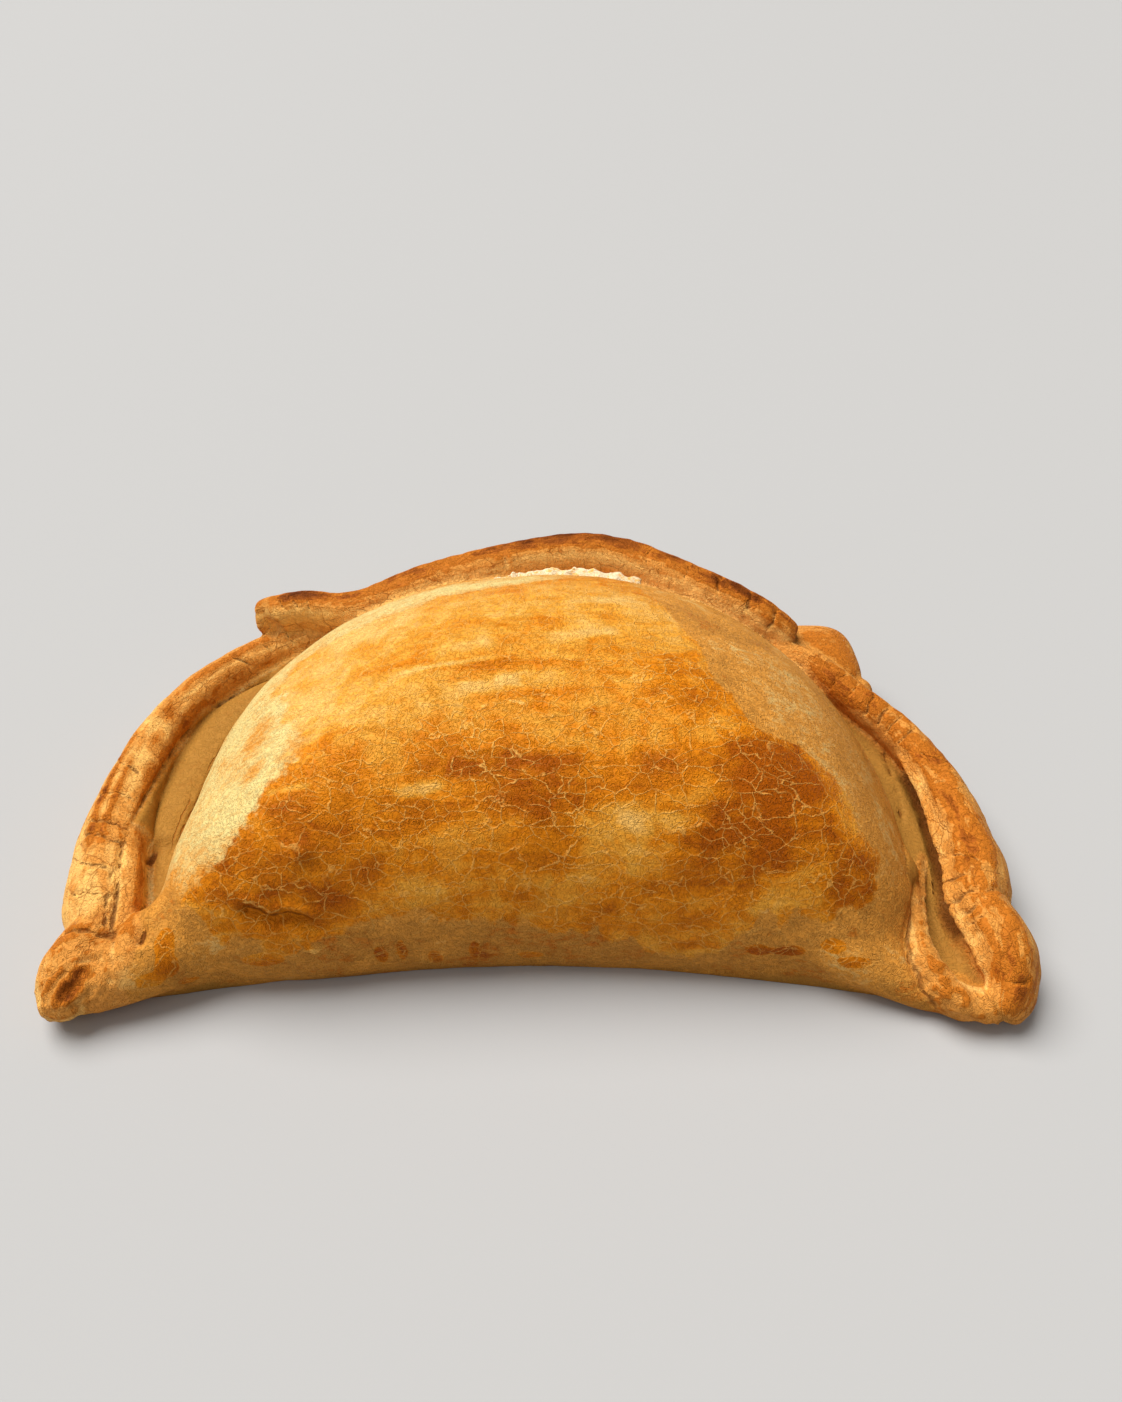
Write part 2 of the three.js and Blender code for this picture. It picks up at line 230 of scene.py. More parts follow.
# Holes in the slab's crease: x, y, z, half width and half height. Edge of the slab: pairs of y and x.
SLAB_HOLES = ((-69.5, -21.6, 7.2, 0.7, 1.9), (-63.6, -40.8, 12, 0.9, 1.4))
SLAB_EDGE = (
    (-58, -66.5), (-50, -64.2), (-47, -63), (-43.3, -62.7), (-39, -64.6), (-33, -66.9), (-20.8, -69.7),
    (-16, -74),
)
SLAB_REACH = 4.0
TIP_EYE = {"at": (-72.2, -51.0, 8.9), "along": (0.61, 0.73, 0.29), "half": (2.6, 1.2), "reach": 6.0}

# Creases of the floor beside the hems, and the pillow of dough between the left one and the belly
LEFT_CREASE = (
    (-57.3, 25.7, 12), (-63.2, 22.9, 10.6), (-69.5, 17.2, 9.2), (-72.7, 6.1, 9.6), (-73.4, -8.2, 10.8),
    (-73.2, -19.6, 12.1),
)
RIGHT_CREASE = (
    (69.8, 9.6, 8.2), (70.6, 6, 7.4), (71.2, 0.8, 6.3), (71.2, -5.3, 5.3), (70.3, -11.3, 4.9),
    (68.7, -17, 7.2), (66.6, -22.8, 10), (64.8, -28.2, 11.8), (63.4, -32.4, 12.9),
)
CREASE = {"half": 0.5, "depth": 0.9, "dots": 0.6, "pillow": 1.5, "reach": 9.0}
# Where fine lines run along the belly's foot on the left, and each line's distance from it and depth
FRINGE = {"x": (-38.0, -44.0), "y": (-20.0, 14.0), "soft": 3.0}
FRINGE_LINES = ((1.6, 0.175), (3.0, 0.14))

# Torn edge of a collapsed blister, a blister, and the hollow in the end of the back hem
BLISTER_TEAR = (
    (-46.2, -42.9, 19.7), (-44, -43.2, 19.4), (-41, -43.6, 17.9), (-37.9, -43.4, 18.1),
    (-34.9, -43.5, 16.8), (-31.7, -43.6, 15.2),
)
BLISTER = (-35.8, -38.8, 26.9, 2.1, 2)
ROLL_END_HOLLOW = ((-60.4, 35, 23.8), (-58.8, 33.4, 21), (-56.4, 33.2, 18.2))
TEAR_REACH = 6.0

# Torn flakes of glaze on the belly: stations, half width and how pale
FLAKES = (
    (((-8.3, -19.5, 40.2), (-5.9, -18.6, 40.5), (-3.5, -18.3, 40.7), (-1, -18.8, 40.5)), 0.46, 0.48),
    (((1.5, -21, 39.7), (3, -21.2, 39.6), (4.7, -20.5, 39.9)), 0.42, 0.48),
    (((-12, -25.6, 37.5), (-9.6, -26.6, 37), (-7, -26.2, 37.2)), 0.36, 0.46),
    (((-37.4, -44.8, 10.9), (-35, -44.7, 10.3), (-33, -44.6, 10.6)), 0.7, 0.45),
    (((27, -35.4, 29.3), (28.2, -35.7, 29.1), (29.4, -35.2, 29.4)), 0.3, 0.45),
)
FLAKE = {"reach": 3.0, "height": 0.2}

# Pale strokes that the brush left: stations, half width and how much paler
STROKES = (
    (((-23.6, -11.1, 40.5), (-13.8, -10.7, 42.6), (-4.6, -9.1, 43.3)), 0.55, 0.3),
    (((-17.7, -6.2, 42), (-11, -6.2, 43.2), (-5.6, -5.3, 43.7)), 1.6, 0.22),
    (((-13.5, -16.8, 41.2), (-6.9, -15.1, 41.7), (-1.3, -13.5, 42.2)), 1.3, 0.26),
    (((-42.8, -30.7, 31.5), (-38, -31, 33.1), (-33.7, -31, 33.9)), 0.45, 0.26),
    (((-22.3, -32.7, 33), (-17.3, -31.7, 33.7), (-12.5, -30.9, 34.2)), 0.9, 0.26),
    (((1.3, -5.5, 43.8), (8, -3.6, 43.6), (15.2, -1.3, 43)), 1.2, 0.18),
    (((4.7, 8, 43.2), (12, 9, 42.6), (19.5, 9.3, 41.3)), 1.4, 0.16),
)
STROKE = {"reach": 5.0, "strength": 1.3, "ends": 0.2}

# Browned and pale places of the belly: x, y, z, half width, half height and how much browner
BELLY_SPOTS = (
    (-2, -30, 35.2, 12, 5.5, 0.24), (-10, -27.5, 36.5, 7, 3, 0.14), (4, -36.5, 28.5, 8, 5, 0.16),
    (-42, -36, 28, 9, 8, 0.17), (-47, -40.5, 22, 7, 7, 0.18), (-37, -42.5, 19, 9, 4, 0.22),
    (-24, -34.5, 31, 13, 4, 0.16), (38, -27, 34.2, 9, 7, 0.38), (33, -37.5, 27, 8.5, 8, 0.3),
    (43, -34, 28.5, 7, 8, 0.24), (52, -39, 20.5, 4.5, 6, 0.28), (22, -41.5, 18, 12, 5, 0.18),
    (0, -1, 44, 8, 3, 0.14), (-8.5, 0.5, 43.4, 6, 2.4, 0.14), (-19, 11, 40.2, 6, 2.4, 0.12),
    (-3, -10.4, 43, 8, 1.8, 0.12), (25, -14, 40.6, 7, 7, 0.14), (4.7, -18.1, 40.8, 9, 2.4, 0.08),
    (10, -20, 40, 0.8, 0.7, 0.35), (42.7, -37.1, 27.2, 0.8, 0.8, 0.35),
    (46.5, -40.5, 24, 0.8, 0.8, 0.3), (-47.2, 7.6, 28, 0.8, 0.8, 0.6), (-42, -6, 33, 11, 15, -0.34),
    (-30, 10, 37, 14, 7, -0.3), (-24, -18, 39, 12, 7, -0.2), (0, 4, 43.4, 34, 11, -0.17),
    (0.6, -13.9, 42.1, 7, 2.2, -0.2), (12.1, -35.4, 29.9, 5, 2.6, -0.26),
    (20.2, -35.4, 29.6, 6, 2, -0.2), (16.8, -38.4, 25.2, 8, 3, -0.12), (19, -29.5, 35, 8, 4, 0.14),
    (-28, -41, 21.6, 9, 3.5, 0.14), (-13.4, -31.7, 33.7, 6, 1.6, -0.18),
    (-20, -41.6, 20, 8, 2.4, -0.2), (4, -33, 31, 40, 13, 0.07), (-36, -31, 32, 10, 6, 0.08),
)

# Edges of the glaze, drawn as pairs: y and x on the left and right, x and z along the foot, x and y at
# the back
GLAZE_LEFT = (
    (-46, -51), (-44, -55), (-41.6, -54), (-37.5, -48), (-30, -43.7), (-25, -39.5), (-20.6, -38.5),
    (-10, -45), (-2, -48), (10, -42), (20, -36),
)
GLAZE_RIGHT = (
    (-46, 56), (-42, 57.5), (-38, 57), (-32.7, 54), (-26.7, 51.5), (-22.5, 47), (-21, 38),
    (-17.3, 34.6), (-11, 31), (-3, 29.3), (10, 24), (25, 18),
)
GLAZE_FOOT = (
    (-60, 18), (-54.7, 20.4), (-52.9, 16.8), (-50.3, 13.8), (-43.6, 13.5), (-36.8, 12), (-28.7, 15),
    (-20.9, 16.2), (-12.9, 15.7), (-5, 14.4), (4.7, 13.2), (11.2, 12), (17, 9), (24, 7), (30, 7.5),
    (35.6, 14), (41.5, 16), (46.5, 14.6), (51.3, 16.2), (56.6, 16.8),
)
GLAZE_BACK = (
    (-48, 4.5), (-38.9, 8.2), (-32.7, 11.7), (-26.2, 13.2), (-19.9, 14.6), (-13.4, 15.5), (-7.1, 16.2),
    (0, 19), (10, 24), (20, 28), (60, 40),
)
# Places where the glaze has crackled most: x, y, z, half width, half height and how much
CRACKLED = (
    (-10, -26, 36, 26, 15, 1), (12, -34, 31, 26, 12, 1), (37, -33, 30, 14, 12, 0.75),
    (25, -10, 40, 16, 14, 1),
)
CRACKLE_LEAST = 0.65

# Browned and paler places of the bare dough: x, y, z, half width, half height and how much browner
BARE_SPOTS = (
    (-49, -45.6, 9, 2.4, 1.2, 0.14), (-52, -45, 10, 5, 4, -0.17), (64, -50, 8, 3, 2, 0.2),
    (-48, -14, 28, 2.5, 5, 0.35), (-44, 2, 31, 3, 5, 0.3), (-45, -24, 29, 2.5, 3, 0.4),
    (40, -4, 35, 10, 9, -0.1), (55, -46, 9.4, 9, 4, -0.2), (30, 9, 38.5, 7, 6, 0.2),
)

# Dabs and drips of glaze on the bare dough: x, y, z, half width, half height and how brown
GLAZE_DABS = (
    (-58.4, -45.4, 12.6, 1.6, 2.8, 0.66), (-58.2, -47.4, 10, 1.8, 2.6, 0.66),
    (-60.6, -49, 8, 2.6, 1.5, 0.6), (-55.6, -46.8, 5.1, 2, 1, 0.66),
    (-43.6, -45.5, 8.9, 3.6, 1.6, 0.62), (-40.3, -45.1, 11.2, 3, 1.8, 0.62),
    (-24.6, -43.6, 7.4, 1.2, 2.6, 0.86), (-21.2, -43.3, 8.4, 1, 3, 0.8),
    (-16.1, -42.6, 5.5, 1.3, 2.4, 0.86), (-9.4, -42.4, 7.2, 1.1, 2.8, 0.82),
    (-0.3, -41.9, 5.1, 2, 1, 0.62), (27.6, -43.3, 9.7, 3.4, 1.2, 0.66),
    (37.3, -43.9, 9.2, 2.4, 1.2, 0.8), (42.2, -44.1, 9.4, 2.8, 1.4, 0.98),
    (48.6, -45.2, 11.6, 2.4, 1.4, 0.62), (52.4, -46, 9, 2.6, 1, 0.66),
)

# Browned places of the hems: distance along, angle, half length, half angle and how much browner
HEM_SPOTS = {
    "hem_left": (
        (44, 1.18, 12, 0.11, 0.6), (44, 1.5, 9, 0.11, 0.42), (60, 1.9, 2.5, 0.2, 0.4),
        (67, 1.8, 3, 0.22, 0.4), (76, 1.45, 9, 0.25, 0.32), (92, 1.55, 12, 0.35, 0.34),
        (34, 1.5, 4, 0.35, 0.26), (12, 2.1, 3, 0.3, 0.2), (60, 2.55, 40, 0.45, 0.5),
        (7, 1.5, 9, 1.2, 0.34),
    ),
    "hem_back": (
        (70, 1.45, 60, 0.6, 0.56), (10, 1.5, 8, 0.5, 0.44), (80, 1.9, 8, 0.22, 0.16),
        # The last spot pales the back hem's front face: partly its own paler dough, partly painted light on
        # that face.
        (112, 1.5, 9, 0.5, 0.22), (65, 2.75, 60, 0.45, -0.54),
    ),
    "hem_right": (
        (28, 1.9, 14, 0.8, 0.24), (46, 1.6, 4, 0.4, 0.12), (60, 1.75, 9, 0.24, 0.3),
        (88, 1.75, 6, 0.25, 0.16), (70, 1.1, 3, 0.25, 0.22), (60, 2.45, 16, 0.25, -0.14),
        (95, 1.2, 2.5, 0.6, 0.22), (76, 0.8, 12, 0.5, -0.1), (93, 2.1, 2, 0.5, 0.25),
    ),
}

# How brown each part is before its spots: glazed belly, hems and other folded dough, and bare dough
BELLY_BAKE = 0.45
# The left hem is paler and the right hem browner: partly their own baking, partly painted light and shade
# of a light from the left.
HEM_BAKE = {"hem_left": 0.17, "hem_back": 0.26, "hem_right": 0.44}
FOLDED_BAKE = {"slab": 0.46, "flap": 0.56, "lip": 0.40, "behind": 0.36}
# Bare dough is palest on the left flank and behind the glaze on the left, partly its own pale colour and
# partly a painted highlight of the light from behind; darker at the foot in front, partly browning and
# partly painted shade.
BARE = {"belly": 0.50, "flank": 0.05, "foot": 0.68, "back": 0.36, "floor": 0.72}
UNEVEN_BAKE = 0.10

# Soft edges, from nothing to full: left end of the flap, back end of the slab, where the glaze's right
# edge turns crisp, the front where its foot shows, and the places of the bare dough
FLAP_LEFT = (54.0, 57.0)
SLAB_BACK = (-17.0, -22.0)
GLAZE_CRISP = (-24.0, -19.0)
GLAZE_FRONT = (-26.0, -32.0)
BARE_EDGE = {
    "flank_x": (-36.0, -44.0), "flank_y": (-44.0, -32.0), "left_x": (12.0, -6.0),
    "foot_z": (20.0, 10.0), "front_y": (-30.0, -38.0), "back_y": (20.0, 32.0),
}

# Middle of the ring that the hems make, from which the wall behind them is told from the floor inside
RING_CENTRE = (0.0, -45.0, 0.0)

# Floor, lights, surround and camera of the stage: places in metres, spread of a light in radians, tilt of
# the camera in degrees and its sensor in millimetres
FLOOR_HALF = 6.0
FLOOR_ROUGHNESS = 0.9
KEY = {"from": (-0.40, 0.28, 0.93), "spread": 0.8}
FILL = {"from": (-0.30, -0.60, 0.72), "spread": 1.2}
SKY_COLOUR = (1.0, 0.98, 0.95, 1.0)
CAMERA = {"at": (0.004869, -0.143052, 0.141), "tilt": 51.2, "sensor": 36.0, "nearest": 0.01}

# What is stored at each point of the crust for its finish
LAYERS = (
    "bake", "bare", "glaze", "hem", "crumb", "crevice", "crackle", "flake", "crack", "run", "turn",
    "valley", "foot", "fringe",
)

# What every colour property has in common
COLOUR = {"subtype": "COLOR", "size": 3, "min": 0, "max": 1}


class EmpanadaSizes(bpy.types.PropertyGroup):
    """Sizes of the dough that a user may change."""

    belly_height: bpy.props.FloatProperty(
        name="Belly height", description="Height of the filled belly above the base",
        default=0.044, min=0.02, max=0.08, unit="LENGTH")
    belly_left: bpy.props.FloatProperty(
        name="Belly left", description="Reach of the belly to the left of its plan centre",
        default=0.0655, unit="LENGTH")
    belly_right: bpy.props.FloatProperty(
        name="Belly right", description="Reach of the belly to the right of its plan centre",
        default=0.066, unit="LENGTH")
    belly_back: bpy.props.FloatProperty(
        name="Belly back", description="Reach of the belly towards the back hem",
        default=0.0635, unit="LENGTH")
    belly_front: bpy.props.FloatProperty(
        name="Belly front", description="Reach of the belly towards its folded front",
        default=0.0275, unit="LENGTH")
    belly_bend: bpy.props.FloatProperty(
        name="Front bend", description="How far the ends of the folded front come forward",
        default=0.009, unit="LENGTH")
    grain: bpy.props.FloatProperty(
        name="Mesh grain", description="Edge length of the fused dough's mesh",
        default=0.0005, min=0.0003, max=0.003, unit="LENGTH")
    most_triangles: bpy.props.IntProperty(
        name="Most triangles", description="Triangles that the mesh is thinned to", default=192000)
    unevenness: bpy.props.FloatProperty(
        name="Unevenness", description="Height of the belly's soft unevenness",
        default=0.0004, unit="LENGTH")
    crack_depth: bpy.props.FloatProperty(
        name="Crack depth", description="Depth of the cracks across the hem",
        default=0.0008, unit="LENGTH")


class EmpanadaColours(bpy.types.PropertyGroup):
    """Colours and finish of the crust."""

    crumb: bpy.props.FloatVectorProperty(
        name="Raw crumb", description="Torn dough inside the crust",
        default=(0.88, 0.69, 0.43), **COLOUR)
    crackle: bpy.props.FloatVectorProperty(
        name="Crackle", description="Fine raised lines in the glaze",
        default=(0.92, 0.47, 0.10), **COLOUR)
    pale: bpy.props.FloatVectorProperty(
        name="Pale glaze", description="Glazed crust that has hardly browned",
        default=(0.86, 0.48, 0.12), **COLOUR)
    gold: bpy.props.FloatVectorProperty(
        name="Gold glaze", description="Glazed crust that has turned gold",
        default=(0.78, 0.335, 0.034), **COLOUR)
    amber: bpy.props.FloatVectorProperty(
        name="Amber glaze", description="Glazed crust that has begun to brown",
        default=(0.68, 0.205, 0.005), **COLOUR)
    brown: bpy.props.FloatVectorProperty(
        name="Brown glaze", description="Well browned crust",
        default=(0.38, 0.084, 0.002), **COLOUR)
    # Also the colour of the painted shade in crevices.
    char: bpy.props.FloatVectorProperty(
        name="Dark crust and shade", description="The darkest browned spots and cracks, and painted shade in crevices",
        default=(0.13, 0.028, 0.003), **COLOUR)
    cream: bpy.props.FloatVectorProperty(
        name="Cream dough", description="Belly without glaze, hardly browned",
        default=(0.75, 0.57, 0.215), **COLOUR)
    dough: bpy.props.FloatVectorProperty(
        name="Bare dough", description="Belly without glaze, lightly browned",
        default=(0.70, 0.285, 0.042), **COLOUR)
    dough_brown: bpy.props.FloatVectorProperty(
        name="Browned dough", description="Dough without glaze, tanned",
        default=(0.52, 0.215, 0.034), **COLOUR)
    # Darker dough in the hollows beside the hems and in the pocket: partly its own colour, partly painted
    # shade.
    valley: bpy.props.FloatVectorProperty(
        name="Hollow dough and shade", description="Darker dough in the hollow beside the hems, partly painted shade",
        default=(0.36, 0.168, 0.028), **COLOUR)
    hem_pale: bpy.props.FloatVectorProperty(
        name="Pale hem", description="Palest dough of the hems",
        default=(0.90, 0.48, 0.125), **COLOUR)
    hem_gold: bpy.props.FloatVectorProperty(
        name="Gold hem", description="Lightly baked dough of the hems",
        default=(0.70, 0.28, 0.050), **COLOUR)
    hem_tan: bpy.props.FloatVectorProperty(
        name="Tan hem", description="Well baked dough of the hems",
        default=(0.53, 0.158, 0.014), **COLOUR)
    hem_brown: bpy.props.FloatVectorProperty(
        name="Brown hem", description="Browned ridges of the hems",
        default=(0.38, 0.098, 0.009), **COLOUR)
    glaze_roughness: bpy.props.FloatProperty(
        name="Glaze roughness", description="Roughness of glazed crust", subtype="FACTOR",
        min=0, max=1, default=0.40)
    dough_roughness: bpy.props.FloatProperty(
        name="Dough roughness", description="Roughness of bare dough", subtype="FACTOR",
        min=0, max=1, default=0.60)


class EmpanadaStage(bpy.types.PropertyGroup):
    """Floor, light and camera."""

    floor_colour: bpy.props.FloatVectorProperty(
        name="Floor", description="Colour of the plain floor",
        default=(0.42, 0.412, 0.40), **COLOUR)
    key_power: bpy.props.FloatProperty(
        name="Key light", description="Power of the soft light behind and above", default=4.5)
    fill_power: bpy.props.FloatProperty(
        name="Fill light", description="Power of the soft light in front", default=0.5)
    sky: bpy.props.FloatProperty(
        name="Surround", description="Brightness of the even light all round", default=0.20)
    lens: bpy.props.FloatProperty(
        name="Lens", description="Focal length of the camera in millimetres", default=25.164)


def lerp(a, b, share):
    """Goes from a to b while the share goes from 0 to 1."""
    return a + (b - a) * share


def smoothstep(low, high, value):
    """Goes softly from 0 at low to 1 at high, which may be the smaller of the two."""
    share = np.clip((value - low) / (high - low), 0.0, 1.0)
    return share * share * (3.0 - 2.0 * share)


def window(value, low, high, soft):
    """One between low and high, fading to nothing over a soft margin."""
    return smoothstep(low - soft, low + soft, value) * smoothstep(high + soft, high - soft, value)


def tapered(share, first, last):
    """Fades both ends of a drawn line, each over its own part of the length."""
    return smoothstep(0.0, first, share) * smoothstep(1.0, 1.0 - last, share)


def bell(distance, width):
    """Bell curve of a distance, 1 in the middle."""
    return np.exp(-((distance / width) ** 2))


def unwrapped(angle):
    """Angle round a roll, counted on past its inner side so that it doesn't jump there."""
    return np.where(angle < -math.pi / 2.0, angle + 2.0 * math.pi, angle)


def along_edge(values, stations):
    """Value of an edge drawn as pairs, straight between them."""
    pairs = np.array(stations)
    return np.interp(values, pairs[:, 0], pairs[:, 1])


def spline(stations, t):
    """Points of a centripetal Catmull-Rom curve through the stations, for t from 0 to 1."""
    points = np.asarray(stations, float)
    last = len(points) - 1
    place = np.clip(t, 0.0, 1.0) * last
    index = np.minimum(place.astype(int), last - 1)
    w = (place - index)[:, None]
    ends = np.vstack([2 * points[0] - points[1], points, 2 * points[-1] - points[-2]])
    p0, p1, p2, p3 = (ends[index + k] for k in range(4))
    d0, d1, d2 = (((b - a) ** 2).sum(1, keepdims=True) ** 0.25 for a, b in ((p0, p1), (p1, p2), (p2, p3)))
    d1 = np.where(d1 < 1e-4, 1.0, d1)
    d0 = np.where(d0 < 1e-4, d1, d0)
    d2 = np.where(d2 < 1e-4, d1, d2)
    m1 = ((p1 - p0) / d0 - (p2 - p0) / (d0 + d1) + (p2 - p1) / d1) * d1
    m2 = ((p2 - p1) / d1 - (p3 - p1) / (d1 + d2) + (p3 - p2) / d2) * d1
    c2 = 3 * (p2 - p1) - 2 * m1 - m2
    c3 = 2 * (p1 - p2) + m1 + m2
    return p1 + w * (m1 + w * (c2 + w * c3))


class Roll:
    """A roll of dough along its stations: where its surface is, and where a point lies on it."""

    def __init__(self, stations, lean=0.0, crest=0.0, swell=NO_SWELL, ends=(ROUND_END, ROUND_END)):
        stations = np.asarray(stations, float)
        self.path = stations[:, :3] + FRAME_SHIFT
        self.sizes = stations[:, 3:]
        self.lean, self.crest, self.swell, self.ends = lean, crest, swell, ends
        t = np.linspace(0.0, 1.0, ROLL_SAMPLES)
        line = spline(self.path, t)
        steps = np.linalg.norm(np.diff(line, axis=0), axis=1)
        self.t, self.line = t, line
        self.run = np.concatenate([[0.0], np.cumsum(steps)])
        self.length = self.run[-1]

    def frame_at(self, t):
        """Centre and outward and upward directions at t."""
        step = 1e-4
        ends = np.minimum(t + step, 1.0), np.maximum(t - step, 0.0)
        ahead = spline(self.path, ends[0]) - spline(self.path, ends[1])
        tangent = ahead / np.linalg.norm(ahead, axis=1, keepdims=True)
        outward = np.cross([0.0, 0.0, 1.0], tangent)
        outward /= np.linalg.norm(outward, axis=1, keepdims=True)
        return spline(self.path, t), outward, np.cross(tangent, outward)

    def girth(self, t, angle):
        """Half width, half height and sideways lean of the section at t, seen at an angle."""
        size = spline(self.sizes, t)
        power = np.where(t < 0.5, *self.ends)
        closing = np.maximum(0.0, 1.0 - np.abs(2.0 * t - 1.0) ** power) ** (1.0 / power)
        turn = 2.0 * math.pi * self.length * t / self.swell["wave"]
        second = SWELL_SECOND_WAVE * turn + SWELL_TWIST * angle
        swell = self.swell["depth"] / 2.0 * (np.sin(turn) + np.sin(second))
        from_crest = np.abs(angle - HEM_CREST["at"]) / HEM_CREST["half"]
        grown = swell + self.crest * np.maximum(0.0, 1.0 - from_crest)
        lean = -self.lean * closing * np.sin(angle)
        return (size[:, 0] + grown) * closing, (size[:, 1] + grown) * closing, lean

    def place(self, angle, share, height):
        """Points of the roll for the points of a unit sphere."""
        t = np.arccos(np.clip(-height, -1.0, 1.0)) / math.pi
        centre, outward, upward = self.frame_at(t)
        wide, tall, lean = self.girth(t, angle)
        pole = share == 0.0
        wide, tall, lean = (np.where(pole, 0.0, v) for v in (wide, tall, lean))
        side = (wide * np.cos(angle) + lean)[:, None]
        rise = (tall * np.sin(angle))[:, None]
        return centre + side * outward + rise * upward

    def locate(self, points):
        """For each point: distance along the roll, angle round it, and height above its surface."""
        low, high = self.line.min(0) - ROLL_MARGIN, self.line.max(0) + ROLL_MARGIN
        inside = np.flatnonzero(((points > low) & (points < high)).all(1))
        found = [np.zeros(len(points)), np.zeros(len(points)), np.full(len(points), NOWHERE)]
        for start in range(0, len(inside), BATCH):
            part = inside[start:start + BATCH]
            for whole, values in zip(found, self.locate_near(points[part])):
                whole[part] = values
        return found

    def locate_near(self, points):
        """The same for a batch of points that are all near the roll."""
        gap = (points ** 2).sum(1)[:, None] - 2.0 * points @ self.line.T + (self.line ** 2).sum(1)[None, :]
        nearest = gap.argmin(1)
        t = self.t[nearest]
        centre, outward, upward = self.frame_at(t)
        tangent = np.cross(outward, upward)
        along = self.run[nearest] + ((points - centre) * tangent).sum(1)
        out = ((points - centre) * outward).sum(1)
        up = ((points - centre) * upward).sum(1)
        angle = np.arctan2(up, out)
        for _ in range(3):
            wide, tall, lean = self.girth(t, angle)
            wide, tall = np.maximum(wide, LEAST_GIRTH), np.maximum(tall, LEAST_GIRTH)
            angle = np.arctan2(up / tall, (out - lean) / wide)
        reach = np.hypot((out - lean) / wide, up / tall)
        beyond = np.maximum(np.abs(along - self.length / 2) - self.length / 2, 0.0)
        return along, angle, (reach - 1.0) * np.minimum(wide, tall) + beyond


ROLLS = {
    "hem_left": Roll(HEM_LEFT, HEM_LEAN, HEM_CREST["height"], HEM_SWELL, (ROUND_END, BLUNT_END)),
    "hem_back": Roll(HEM_BACK, HEM_LEAN, HEM_CREST["height"], HEM_SWELL, (BLUNT_END, BLUNT_END)),
    "hem_right": Roll(HEM_RIGHT, HEM_LEAN, HEM_CREST["height"], HEM_SWELL, (BLUNT_END, ROUND_END)),
    "corner_left": Roll(CORNER_LEFT),
    "corner_right": Roll(CORNER_RIGHT),
    "lip": Roll(LIP, swell=HEM_SWELL),
    "tear": Roll(TEAR, swell=TEAR_SWELL),
}
HEMS = ("hem_left", "hem_back", "hem_right")
CORNERS = ("corner_left", "corner_right")


def plan_reach(plan, roundness, angle):
    """Distance from the plan centre to a half-moon outline in the direction of an angle."""
    c, s = np.cos(angle), np.sin(angle)
    side = np.where(c < 0, plan["left"], plan["right"])
    depth = np.where(s < 0, plan["front"], plan["back"])
    front = np.where(c < 0, *roundness["front"])
    back = np.where(c < 0, *roundness["back"])
    power = np.where(s < 0, front, back)
    return (np.abs(c / side) ** power + np.abs(s / depth) ** power) ** (-1.0 / power)


def plan_bend(plan, angle, x):
    """Bends the front of a half-moon so that its two tips come forward."""
    share = smoothstep(0.0, BEND_FULL, -np.sin(angle))
    return -plan["bend"] * (x / max(plan["left"], plan["right"])) ** 2 * share


def belly_place(sizes):
    """The belly: a steep fold in front, a full crown set towards the back, and a rounded foot."""
    sides = ("left", "right", "back", "front", "bend")
    plan = {side: getattr(sizes, "belly_" + side) / MM for side in sides}
    crown = sizes.belly_height / MM

    def place(angle, share, height):
        reach = plan_reach(plan, BELLY_ROUNDNESS, angle) * share
        x = reach * np.cos(angle)
        turned = np.where(np.sin(angle) < 0, BELLY_WAIST["front"], BELLY_WAIST["back"])
        waist = lerp(BELLY_WAIST["side"], turned, np.abs(np.sin(angle)))
        y = reach * np.sin(angle) + plan_bend(plan, angle, x)
        low = waist * share
        side_slope = np.where(np.cos(angle) < 0, *BELLY_SIDE["slope"])
        side_power = np.where(np.cos(angle) < 0, *BELLY_SIDE["power"])
        slope = lerp(1.0, side_slope, np.cos(angle) ** 2 * share ** side_power)
        upper = np.maximum(height, 0.0)
        top = low + (crown - low) * upper ** slope
        foot = np.clip((share - BELLY_FOOT_SHARE) / (1.0 - BELLY_FOOT_SHARE), 0.0, 1.0)
        under = waist * (1.0 - np.sqrt(1.0 - foot * foot)) - UNDERSIDE * (1.0 - foot)
        z = np.where(height >= 0, top, under)
        y = y + BELLY_PEAK_SHIFT * upper ** BELLY_PEAK_POWER
        return np.stack([BELLY_CENTRE[0] + x, BELLY_CENTRE[1] + y, z], 1) + FRAME_SHIFT

    return place


def shelf_place(angle, share, height):
    """The shelf: a flat sheet with a rounded edge that rises towards the back, where it meets the hem."""
    reach = plan_reach(SHELF_PLAN, SHELF_ROUNDNESS, angle) * share
    x = reach * np.cos(angle)
    y = reach * np.sin(angle) + plan_bend(SHELF_PLAN, angle, x)
    across = (1.0 + np.cos(angle)) / 2.0
    side = lerp(SHELF_TOP["left"], SHELF_TOP["right"], across)
    rise = lerp(SHELF_RISE["left"], SHELF_RISE["right"], across)
    rim = lerp(side, SHELF_TOP["back"], np.maximum(0.0, np.sin(angle)) ** rise)
    top = lerp(SHELF_TOP["right"], rim, share)
    edge = np.maximum(0.0, 1.0 - share ** SHELF_EDGE_POWER) ** (1.0 / SHELF_EDGE_POWER)
    z = np.where(height >= 0, top / 2 * (1 + edge), top / 2 * (1 - edge) - UNDERSIDE * edge)
    return np.stack([SHELF_CENTRE[0] + x, SHELF_CENTRE[1] + y, z], 1) + FRAME_SHIFT


